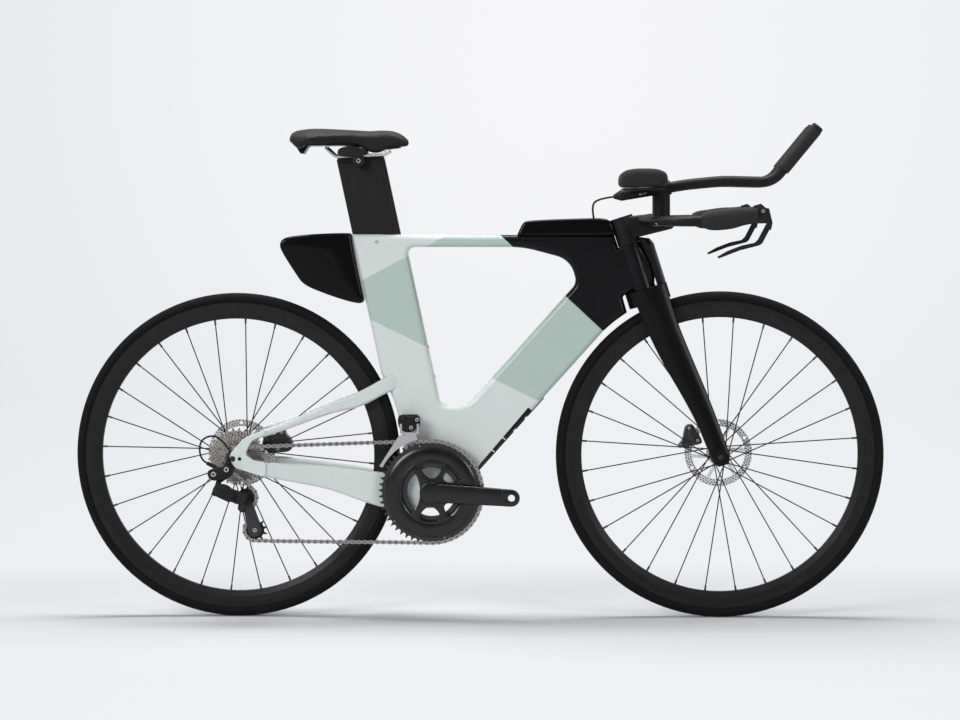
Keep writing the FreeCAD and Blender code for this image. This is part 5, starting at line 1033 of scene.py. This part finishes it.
# shaped plates: smooth outlines in the side view, with rounded edges
plateForm = {"lineSteps": 5, "edgeSteps": 2, "sharpAngle": 40, "merge": 1e-6}


def plateMesh(outline, span, edge, openings=()):
    curve = bpy.data.curves.new("plateLine", "CURVE")
    curve.dimensions = "2D"
    curve.fill_mode = "BOTH"
    curve.resolution_u = plateForm["lineSteps"]
    curve.extrude = (span[1] - span[0]) / 2 - edge
    curve.bevel_depth = edge
    curve.bevel_resolution = plateForm["edgeSteps"]
    curve.offset = -edge
    for line in (outline, *openings):
        addSpline(curve, [(x, z, 0.0) for x, z in line], True)
    holder = addPiece("plateLine", curve)
    mesh = finalMesh(holder)
    bpy.data.objects.remove(holder)
    middle = (span[0] + span[1]) / 2
    for vertex in mesh.vertices:
        along, up, out = vertex.co
        vertex.co = (along, middle - out, up)
    return mesh


def closedPiece(name, shape, material, sharpAngle=plateForm["sharpAngle"]):
    bmesh.ops.remove_doubles(shape, verts=shape.verts, dist=plateForm["merge"])
    bmesh.ops.recalc_face_normals(shape, faces=shape.faces)
    mesh = bpy.data.meshes.new(name)
    shape.to_mesh(mesh)
    shape.free()
    mesh.shade_smooth()
    mesh.set_sharp_from_angle(angle=math.radians(sharpAngle))
    return addPiece(name, mesh, material)


def addPlates(name, setup):
    shape = bmesh.new()
    for part in setup["parts"]:
        shape.from_mesh(plateMesh(part["outline"], part["span"], part["edge"]))
    piece = closedPiece(name, shape, setup["finish"])
    attach(piece, setup["body"], setup.get("replaces"))


def around(middle, radius, count=10):
    reach = radius / math.cos(math.pi / count)   # the spline runs inside its points
    turns = [math.tau * number / count for number in range(count)]
    return [(middle[0] + reach * math.cos(turn), middle[1] + reach * math.sin(turn))
            for turn in turns]


frontCaliperLine = [
    (0.4280, 0.3930), (0.4413, 0.3962), (0.4472, 0.3915), (0.4605, 0.3692), (0.4646, 0.3582),
    (0.4561, 0.3535), (0.4399, 0.3514), (0.4148, 0.3455), (0.4134, 0.3529), (0.4222, 0.3618),
    (0.4251, 0.3752),
]
rearCaliperLine = [
    (-0.4536, 0.3520), (-0.4500, 0.3680), (-0.4380, 0.3755), (-0.4240, 0.3720), (-0.4205, 0.3864),
    (-0.4040, 0.3864), (-0.4035, 0.3740), (-0.3920, 0.3660), (-0.3878, 0.3500), (-0.3950, 0.3380),
    (-0.4200, 0.3360), (-0.4450, 0.3380),
]
plateSetup = {
    "frontCaliperShell": {
        "body": "steering", "slot": "dark_alloy", "replaces": "front_caliper", "finish": darkAlloy,
        "parts": [
            {"span": (0.0265, 0.0355), "edge": 0.0018, "outline": frontCaliperLine},
            {"span": (0.0405, 0.0515), "edge": 0.0018, "outline": frontCaliperLine},
            {"span": (0.0335, 0.0425), "edge": 0.0008, "outline": [
                (0.4280, 0.3930), (0.4413, 0.3962), (0.4468, 0.3920), (0.4375, 0.3800),
                (0.4305, 0.3690), (0.4265, 0.3570), (0.4240, 0.3490), (0.4148, 0.3455),
                (0.4134, 0.3529), (0.4222, 0.3618), (0.4251, 0.3752),
            ]},
            {"span": (0.0245, 0.0280), "edge": 0.0010, "outline": around((0.4425, 0.3715), 0.0095)},
        ],
    },
    "rearCaliperShell": {
        "body": "frame", "slot": "dark_alloy", "replaces": "rear_caliper", "finish": darkAlloy,
        "parts": [
            {"span": (0.0405, 0.0490), "edge": 0.0018, "outline": rearCaliperLine},
            {"span": (0.0550, 0.0655), "edge": 0.0018, "outline": rearCaliperLine},
            {"span": (0.0470, 0.0570), "edge": 0.0008, "outline": [
                (-0.4205, 0.3864), (-0.4040, 0.3864), (-0.4035, 0.3740), (-0.3920, 0.3660),
                (-0.3878, 0.3500), (-0.3950, 0.3380), (-0.4180, 0.3360), (-0.4235, 0.3450),
                (-0.4245, 0.3560), (-0.4255, 0.3660),
            ]},
            {"span": (0.0385, 0.0420), "edge": 0.0010,
             "outline": around((-0.4350, 0.3555), 0.0105)},
        ],
    },
    "topBoxShell": {
        "body": "frame", "slot": "black_trim", "replaces": "top_tube_box", "finish": topBoxGloss,
        "parts": [
            {"span": (-0.0190, 0.0190), "edge": 0.0055, "outline": [
                (0.0836, 0.7872), (0.0846, 0.7920), (0.0950, 0.8142), (0.1050, 0.8184),
                (0.1700, 0.8212), (0.2325, 0.8226), (0.2509, 0.8228), (0.2710, 0.8204),
                (0.2800, 0.8075), (0.2850, 0.7891), (0.2845, 0.7868), (0.2600, 0.7862),
                (0.1100, 0.7862), (0.0838, 0.7866),
            ]},
        ],
    },
    "rearBoxShell": {
        "body": "frame", "slot": "black_trim", "replaces": "rear_storage_box",
        "finish": rearBoxGloss,
        "parts": [
            {"span": (-0.0228, 0.0228), "edge": 0.0060, "outline": [
                (-0.4045, 0.7747), (-0.3955, 0.7860), (-0.3616, 0.7910), (-0.3101, 0.7940),
                (-0.2700, 0.7945), (-0.2580, 0.7940), (-0.2570, 0.7860), (-0.2488, 0.7393),
                (-0.2352, 0.6740), (-0.2310, 0.6530), (-0.2420, 0.6490), (-0.2752, 0.6575),
                (-0.3112, 0.6700), (-0.3560, 0.6880), (-0.3716, 0.7110), (-0.3900, 0.7398),
                (-0.4030, 0.7620),
            ]},
        ],
    },
    "clampHead": {
        "body": "frame", "slot": "dark_alloy", "replaces": "saddle_clamp", "finish": trim,
        "parts": [
            {"span": (-0.0320, 0.0320), "edge": 0.0020, "outline": [
                (-0.2832, 0.9589), (-0.2790, 0.9680), (-0.2590, 0.9725), (-0.2401, 0.9704),
                (-0.2207, 0.9636), (-0.2284, 0.9500), (-0.2668, 0.9490), (-0.2812, 0.9528),
            ]},
            {"span": (-0.0310, 0.0310), "edge": 0.0022,
             "outline": around((-0.2393, 0.9419), 0.0125)},
        ],
    },
    "postHead": {
        "body": "frame", "slot": "black_carbon", "finish": satin,
        "parts": [
            {"span": (-0.0124, 0.0124), "edge": 0.0016, "outline": [
                (-0.2838, 0.9390), (-0.2852, 0.9478), (-0.2846, 0.9484), (-0.2481, 0.9515),
                (-0.1985, 0.9547), (-0.1905, 0.9515), (-0.1878, 0.9440), (-0.1866, 0.9390),
                (-0.2300, 0.9380), (-0.2500, 0.9380),
            ]},
        ],
    },
    "mechBodyCover": {
        "body": "frame", "slot": "black_trim", "finish": trim,
        "parts": [
            {"span": (-0.1128, -0.1050), "edge": 0.0022, "outline": [
                (-0.5454, 0.3143), (-0.5323, 0.3200), (-0.5167, 0.3217), (-0.5056, 0.3274),
                (-0.4955, 0.3192), (-0.4981, 0.3062), (-0.5088, 0.2985), (-0.5220, 0.2945),
                (-0.5350, 0.2945), (-0.5435, 0.3010),
            ]},
        ],
    },
    "mechLinkCover": {
        "body": "mech_outer", "slot": "black_trim", "finish": trim,
        "parts": [
            {"span": (-0.1150, -0.1095), "edge": 0.0020, "outline": [
                (-0.5365, 0.2745), (-0.5270, 0.2885), (-0.5100, 0.2885), (-0.4975, 0.2830),
                (-0.4905, 0.2720), (-0.4905, 0.2555), (-0.5000, 0.2495), (-0.5120, 0.2555),
                (-0.5270, 0.2620),
            ]},
        ],
    },
    "mechKnuckleCap": {
        "body": "mech_knuckle", "slot": "black_trim", "finish": trim,
        "parts": [
            {"span": (-0.1150, -0.1120), "edge": 0.0012,
             "outline": around((-0.4738, 0.2380), 0.0080)},
        ],
    },
    "frontMechBody": {
        "body": "front_mech", "slot": "black_trim", "finish": trim,
        "parts": [
            {"span": (-0.0525, -0.0405), "edge": 0.0030, "outline": [
                (-0.1614, 0.4215), (-0.1503, 0.4235), (-0.1339, 0.4185), (-0.1215, 0.4235),
                (-0.1155, 0.4104), (-0.1165, 0.3981), (-0.1301, 0.3885), (-0.1485, 0.3865),
                (-0.1607, 0.3981),
            ]},
            {"span": (-0.0540, -0.0450), "edge": 0.0015, "outline": [
                (-0.1590, 0.4180), (-0.1500, 0.4255), (-0.1420, 0.4180), (-0.1460, 0.4080),
                (-0.1560, 0.4080),
            ]},
            {"span": (-0.0540, -0.0450), "edge": 0.0015, "outline": [
                (-0.1290, 0.4180), (-0.1210, 0.4255), (-0.1150, 0.4140), (-0.1180, 0.4040),
                (-0.1280, 0.4060),
            ]},
        ],
    },
}

for name, setup in plateSetup.items():
    addPlates(name, setup)
print("plates added:", len(plateSetup))


# crankset: dished face of the big ring, and the right arm with its open spider
crankSetup = {
    "axle": (-0.09335, 0.264),
    "dish": [   # radius and level
        (0.0600, -0.0486), (0.0625, -0.0512), (0.0690, -0.0525), (0.0780, -0.0527),
        (0.0870, -0.0517), (0.0925, -0.0501), (0.0945, -0.0486),
    ],
    "dishSteps": 96,
    "dishSharpAngle": 50,
    "spiderReach": 0.0665,
    "spiderPoints": 24,
    "spiderSpan": (-0.0530, -0.0489),
    "spiderEdge": 0.0014,
    "openings": [   # from the axle
        [(-0.0400, 0.0500), (-0.0270, 0.0300), (-0.0215, 0.0008), (-0.0270, -0.0285),
         (-0.0430, -0.0500), (-0.0570, -0.0300), (-0.0610, 0.0008), (-0.0570, 0.0320)],
        [(-0.0240, 0.0570), (0.0008, 0.0620), (0.0255, 0.0570), (0.0180, 0.0400),
         (0.0060, 0.0280), (-0.0065, 0.0290), (-0.0165, 0.0410)],
        [(-0.0260, -0.0560), (-0.0190, -0.0385), (-0.0040, -0.0280), (0.0115, -0.0350),
         (0.0220, -0.0560), (0.0008, -0.0610)],
        [(0.0230, -0.0270), (0.0422, -0.0190), (0.0600, -0.0230), (0.0640, -0.0330),
         (0.0500, -0.0475), (0.0340, -0.0490)],
        [(0.0270, 0.0390), (0.0240, 0.0240), (0.0420, 0.0185), (0.0610, 0.0230),
         (0.0560, 0.0370), (0.0440, 0.0470)],
    ],
    "angle": -3.5,
    "length": 0.165,
    "rows": [   # share of the length and half height
        (0.0, 0.0195), (0.06, 0.0199), (0.25, 0.0193),
        (0.55, 0.0189), (0.85, 0.0179), (0.92, 0.0174),
    ],
    "hubLevel": -0.0580,
    "endLevel": -0.0665,
    "halfThick": 0.0065,
    "corner": 0.0046,
    "cornerSteps": 4,
    "eye": 0.0174,
    "eyeSteps": 8,
    "eyeNeck": [(0.93, 0.0174), (0.86, 0.0176), (0.86, -0.0176), (0.93, -0.0174)],
    "eyeEdge": 0.0016,
    "hole": 0.00714,
    "holePoints": 12,
    "rounds": [   # radius, span and edge of the boss, the hub and the spindle
        (0.0232, (-0.0654, -0.0500), 0.0030),
        (0.0210, (-0.0500, -0.0418), 0.0006),
        (0.0118, (-0.0440, 0.0495), 0.0006),
    ],
    "roundPoints": 16,
}


def bridge(shape, rings):
    # faces between each ring of corners and the next
    for first, second in zip(rings, rings[1:]):
        for number in range(len(first)):
            after = (number + 1) % len(first)
            shape.faces.new((first[number], first[after], second[after], second[number]))


def addRingDish(setup):
    shape = bmesh.new()
    axleX, axleZ = setup["axle"]
    rings = []
    for step in range(setup["dishSteps"]):
        turn = math.tau * step / setup["dishSteps"]
        rings.append([
            shape.verts.new((axleX + reach * math.cos(turn), level, axleZ + reach * math.sin(turn)))
            for reach, level in setup["dish"]
        ])
    bridge(shape, rings + rings[:1])
    dish = closedPiece("ringDish", shape, crankAlloy, setup["dishSharpAngle"])
    attach(dish, "crankset")


def addRightArm(setup):
    turn = math.radians(setup["angle"])
    way = Vector((math.cos(turn), 0.0, math.sin(turn)))
    up = Vector((-math.sin(turn), 0.0, math.cos(turn)))
    axle = Vector((setup["axle"][0], 0.0, setup["axle"][1]))
    end = axle + way * setup["length"]
    corner, thick = setup["corner"], setup["halfThick"]
    shape = bmesh.new()

    spider = around((axle.x, axle.z), setup["spiderReach"], setup["spiderPoints"])
    openings = [[(axle.x + x, axle.z + z) for x, z in line] for line in setup["openings"]]
    shape.from_mesh(plateMesh(spider, setup["spiderSpan"], setup["spiderEdge"], openings))

    bends = [math.pi * (step / setup["eyeSteps"] - 0.5) for step in range(setup["eyeSteps"] + 1)]
    eye = [end + (way * math.cos(bend) + up * math.sin(bend)) * setup["eye"] for bend in bends]
    eye += [axle + way * (share * setup["length"]) + up * tall for share, tall in setup["eyeNeck"]]
    eyeSpan = (setup["endLevel"] - thick, setup["endLevel"] + thick)
    hole = around((end.x, end.z), setup["hole"], setup["holePoints"])
    eyeLine = [(place.x, place.z) for place in eye]
    shape.from_mesh(plateMesh(eyeLine, eyeSpan, setup["eyeEdge"], [hole]))

    for radius, span, edge in setup["rounds"]:
        line = around((axle.x, axle.z), radius, setup["roundPoints"])
        shape.from_mesh(plateMesh(line, span, edge))

    rings = []
    for share, tall in setup["rows"]:
        middle = axle + way * (share * setup["length"])
        level = setup["hubLevel"] + (setup["endLevel"] - setup["hubLevel"]) * share
        ring = []
        for quarter, (signUp, signOut) in enumerate(((1, 1), (-1, 1), (-1, -1), (1, -1))):
            for step in range(setup["cornerSteps"] + 1):
                bend = math.pi / 2 * (quarter + step / setup["cornerSteps"])
                above = signUp * (tall - corner) + corner * math.cos(bend)
                out = signOut * (thick - corner) + corner * math.sin(bend)
                ring.append(shape.verts.new(middle + up * above + Vector((0.0, level + out, 0.0))))
        rings.append(ring)
    bridge(shape, rings)
    shape.faces.new(rings[0])
    shape.faces.new(rings[-1])
    arm = closedPiece("rightArm", shape, crankAlloy)
    attach(arm, "crankset", "right_crank")


addRingDish(crankSetup)
addRightArm(crankSetup)
print("crankset dressed")


# chain pins and the shift pins of the big ring
chainPinSetup = {"Radius": 0.0018, "Height": 0.0005, "reach": 0.0026, "rollerCorners": 12}
shiftPinSetup = {
    "Radius": 0.0017, "Height": 0.0008, "reach": 0.0972, "turns": (34, 104, 218, 286),
    "startSide": -0.3, "sink": 0.0002,
}


def addChainPins(setup):
    spots = []
    for roller in islands("chain"):
        if len(roller) != setup["rollerCorners"]:
            continue
        for side in (-1, 1):
            out = Vector((0, side, 0))
            spots.append((meanOf(roller) + out * setup["reach"], out))
    repeated("chainPins", pinTree, spots, setup, plain["pinSteel"], "frame")


def addShiftPins(setup, axle):
    spots = []
    for turn in setup["turns"]:
        x = axle[0] + setup["reach"] * math.cos(math.radians(turn))
        z = axle[1] + setup["reach"] * math.sin(math.radians(turn))
        start = (x, setup["startSide"], z)
        spots.append(onSurface("big_chainring", start, (0, 1, 0), setup["sink"]))
    repeated("shiftPins", pinTree, spots, setup, steel, "crankset")


addChainPins(chainPinSetup)
addShiftPins(shiftPinSetup, crankSetup["axle"])


# screws that show, each set where a line from outside, mostly from the right, meets its carrier
screwSetup = {
    "bottleBosses": {
        "node": "front_triangle", "body": "frame", "radius": 0.0042, "way": (-1, 0, 0),
        "places": [(-0.02, 0.0, 0.559), (-0.02, 0.0, 0.498)]},
    "seatScrew": {
        "node": "front_triangle", "body": "frame", "radius": 0.0034,
        "places": [(-0.204, -0.3, 0.776)]},
    "clampScrew": {
        "node": "clampHead", "body": "frame", "radius": 0.0046,
        "places": [(-0.2393, -0.3, 0.9419)]},
    "mechScrews": {
        "node": "mechBodyCover", "body": "frame", "radius": 0.0052,
        "places": [(-0.5055, -0.3, 0.3174), (-0.5321, -0.3, 0.3080)]},
    "knuckleScrew": {
        "node": "mechKnuckleCap", "body": "mech_knuckle", "radius": 0.0042, "finish": darkAlloy,
        "places": [(-0.4738, -0.3, 0.2380)]},
    "linkScrew": {
        "node": "mechLinkCover", "body": "mech_outer", "radius": 0.0036, "finish": darkAlloy,
        "places": [(-0.5270, -0.3, 0.2740)]},
    "pulleyScrew": {
        "node": "mech_cage", "body": "mech_cage", "radius": 0.0042,
        "places": [(-0.4547, -0.3, 0.1884)]},
    "frontMechScrews": {
        "node": "frontMechBody", "body": "front_mech", "radius": 0.0038,
        "places": [(-0.1215, -0.3, 0.4135), (-0.1339, -0.3, 0.3970)]},
    "frontMechPin": {
        "node": "frontMechBody", "body": "front_mech", "radius": 0.0034, "finish": darkAlloy,
        "places": [(-0.1505, -0.3, 0.4160)]},
    "frontCaliperScrews": {
        "node": "frontCaliperShell", "body": "steering", "radius": 0.0032,
        "places": [(0.4190, -0.01, 0.3515), (0.4365, -0.01, 0.3885), (0.4545, -0.01, 0.3625)]},
    "rearCaliperScrews": {
        "node": "rearCaliperShell", "body": "frame", "radius": 0.0036,
        "places": [(-0.4120, 0.0, 0.3790), (-0.4000, 0.0, 0.3500), (-0.4200, 0.0, 0.3440)]},
    "rightLeverScrew": {
        "node": "right_brake_lever", "body": "right_lever", "radius": 0.0034,
        "places": [(0.5708, -0.3, 0.8358)]},
    "leftLeverScrew": {
        "node": "left_brake_lever", "body": "left_lever", "radius": 0.0034, "way": (0, -1, 0),
        "places": [(0.5708, 0.3, 0.8358)]},
    "stemScrew": {
        "node": "base_bar", "body": "steering", "radius": 0.0034,
        "places": [(0.3640, -0.3, 0.8110)]},
    "cupScrews": {
        "node": "extensions", "body": "steering", "radius": 0.0030,
        "places": [(0.3440, -0.3, 0.8720), (0.3350, -0.3, 0.8705)]},
}
screwShares = {"Radius": 1.0, "Height": 0.3, "Edge": 0.12, "Socket": -0.35}
screwSink = 0.0004


def addScrews(name, screw):
    way = screw.get("way", (0, 1, 0))
    spots = [onSurface(screw["node"], place, way, screwSink) for place in screw["places"]]
    sizes = {part: share * screw["radius"] for part, share in screwShares.items()}
    repeated(name, screwTree, spots, sizes, screw.get("finish", steel), screw["body"])


for name, screw in screwSetup.items():
    addScrews(name, screw)


# stage: pale floor that turns into a bright backdrop far off; the backdrop's glow is painted light,
# brightest in a pool ahead of the watch point and dimmer to its sides
stageSetup = {
    "floor": (0.63, 0.635, 0.655, 1.0),
    "roughness": 0.9,
    "bright": (0.92, 0.92, 0.94, 1.0),
    "dim": (0.80, 0.81, 0.845, 1.0),
    "watch": (0.22, -5.0, 0.85),   # the backdrop's glow is laid out as seen from here
    "glowWay": (-0.011, 0.059),
    "glowReach": 0.30,
    "flatUpTo": 11.0,
    "dimBehind": (1.0, 6.0),
    "reach": 40.0,
    "fade": (0.26, 0.80),
    "fadeStretch": 3.2,
}


# painted light: a glowing pool, bright at its middle and dim towards its edges
def glowColour(finish, aside, above, setup, least=0.0):
    aside = aside - setup["glowWay"][0]
    above = above - setup["glowWay"][1]
    edge = finish.step((aside * aside + above * above) ** 0.5, 0.0, setup["glowReach"])
    return finish.tint(finish.sum("MAXIMUM", edge, least), setup["bright"], setup["dim"])


def raysOf(finish):
    # one for a ray from the camera, and one for a ray from a mirror or through glass
    camera = finish.node("LightPath", out="Is Camera Ray")
    outs = camera.socket.node.outputs
    mirrored = Line(finish, outs["Is Glossy Ray"]) + Line(finish, outs["Is Transmission Ray"])
    return camera, mirrored


def addStage(setup):
    ground = Finish("stageGround", {"Roughness": setup["roughness"], "Base Color": setup["floor"]})
    camera, mirrored = raysOf(ground)
    along = ground.x / setup["fadeStretch"]
    apart = (along * along + ground.y * ground.y) ** 0.5
    far = ground.step(apart, *setup["fade"])
    ahead = ground.sum("MAXIMUM", ground.y - setup["watch"][1], setup["flatUpTo"])
    behind = ground.step(0 - ground.y, *setup["dimBehind"])
    aside = (ground.x - setup["watch"][0]) / ahead
    above = -setup["watch"][2] / ahead
    colour = glowColour(ground, aside, above, setup, behind)
    glow = ground.node("Emission", {}, {"Color": colour, "Strength": 1.0})
    mixed = ground.node("MixShader", {}, {
        0: far * (camera + mirrored),
        1: Line(ground, ground.shader.outputs[0]),
        2: glow,
    })
    output = ground.tree.nodes["Material Output"]
    ground.tree.links.new(mixed.socket, output.inputs["Surface"])
    reach = setup["reach"]
    corners = ((-reach, -reach), (reach, -reach), (reach, reach), (-reach, reach))
    mesh = bpy.data.meshes.new("stage")
    mesh.from_pydata([(x, y, 0.0) for x, y in corners], [], [(0, 1, 2, 3)])
    addPiece("stage", mesh, ground.material)


lightSetup = {
    "world": 0.12,
    "surround": (0.80, 0.81, 0.845, 1.0),
    "levels": {   # reflections dim towards the viewer
        "y": (-0.3, 0.7, 0.25, 1.0),
        "z": (0.35, 0.95, 0.25, 1.0),
    },
    "leastAhead": 0.001,
    "lamps": {
        "overhead": {
            "place": (0.0, 0.30, 3.2), "aim": (0.0, 0.0, 0.0), "size": (2.6, 0.8), "power": 104.0},
        "frontSoftbox": {
            "place": (-3.2, -3.8, 2.8), "aim": (0.0, 0.0, 0.5), "size": (2.2, 2.2), "power": 166.0},
        "rightSoftbox": {
            "place": (3.4, -3.0, 2.1), "aim": (0.2, 0.0, 0.6), "size": (1.6, 1.6), "power": 60.0},
    },
}


class Surround(Finish):
    # the world, whose nodes read the way a ray goes
    def __init__(self, name):
        self.world = bpy.data.worlds.new(name)
        self.world.use_nodes = True
        self.tree = self.world.node_tree
        self.readPlace("Generated")

    def level(self, value, start, end, low, high):
        return self.node("MapRange", {}, {
            "Value": value, "From Min": start, "From Max": end, "To Min": low, "To Max": high,
        })

    def background(self, colour, strength=1.0):
        return self.node("Background", {}, {"Color": colour, "Strength": strength})


def addWorld(setup, stage):
    sky = Surround("studio")
    ahead = sky.sum("MAXIMUM", sky.y, setup["leastAhead"])
    backdrop = sky.background(glowColour(sky, sky.x / ahead, sky.z / ahead, stage))
    sideLevel = sky.level(sky.y, *setup["levels"]["y"])
    topLevel = sky.level(sky.z, *setup["levels"]["z"])
    surround = sky.background(setup["surround"], sky.sum("MAXIMUM", sideLevel, topLevel))
    room = sky.background(shade(1.0), setup["world"])
    camera, mirrored = raysOf(sky)
    mixed = sky.node("MixShader", {}, {0: mirrored, 1: room, 2: surround})
    mixed = sky.node("MixShader", {}, {0: camera, 1: mixed, 2: backdrop})
    sky.tree.links.new(mixed.socket, sky.tree.nodes["World Output"].inputs["Surface"])
    scene.world = sky.world


def addLamp(name, lamp):
    area = bpy.data.lights.new(name, "AREA")
    area.shape = "RECTANGLE"
    area.size, area.size_y = lamp["size"]
    area.energy = lamp["power"]
    holder = bpy.data.objects.new(name, area)
    scene.collection.objects.link(holder)
    holder.location = lamp["place"]
    holder.rotation_mode = "QUATERNION"
    way = Vector(lamp["aim"]) - Vector(lamp["place"])
    holder.rotation_quaternion = way.to_track_quat("-Z", "Y")


addStage(stageSetup)
addWorld(lightSetup, stageSetup)
for name, lamp in lightSetup["lamps"].items():
    addLamp(name, lamp)
scene.view_settings.view_transform = "Standard"
print("stage and light set")
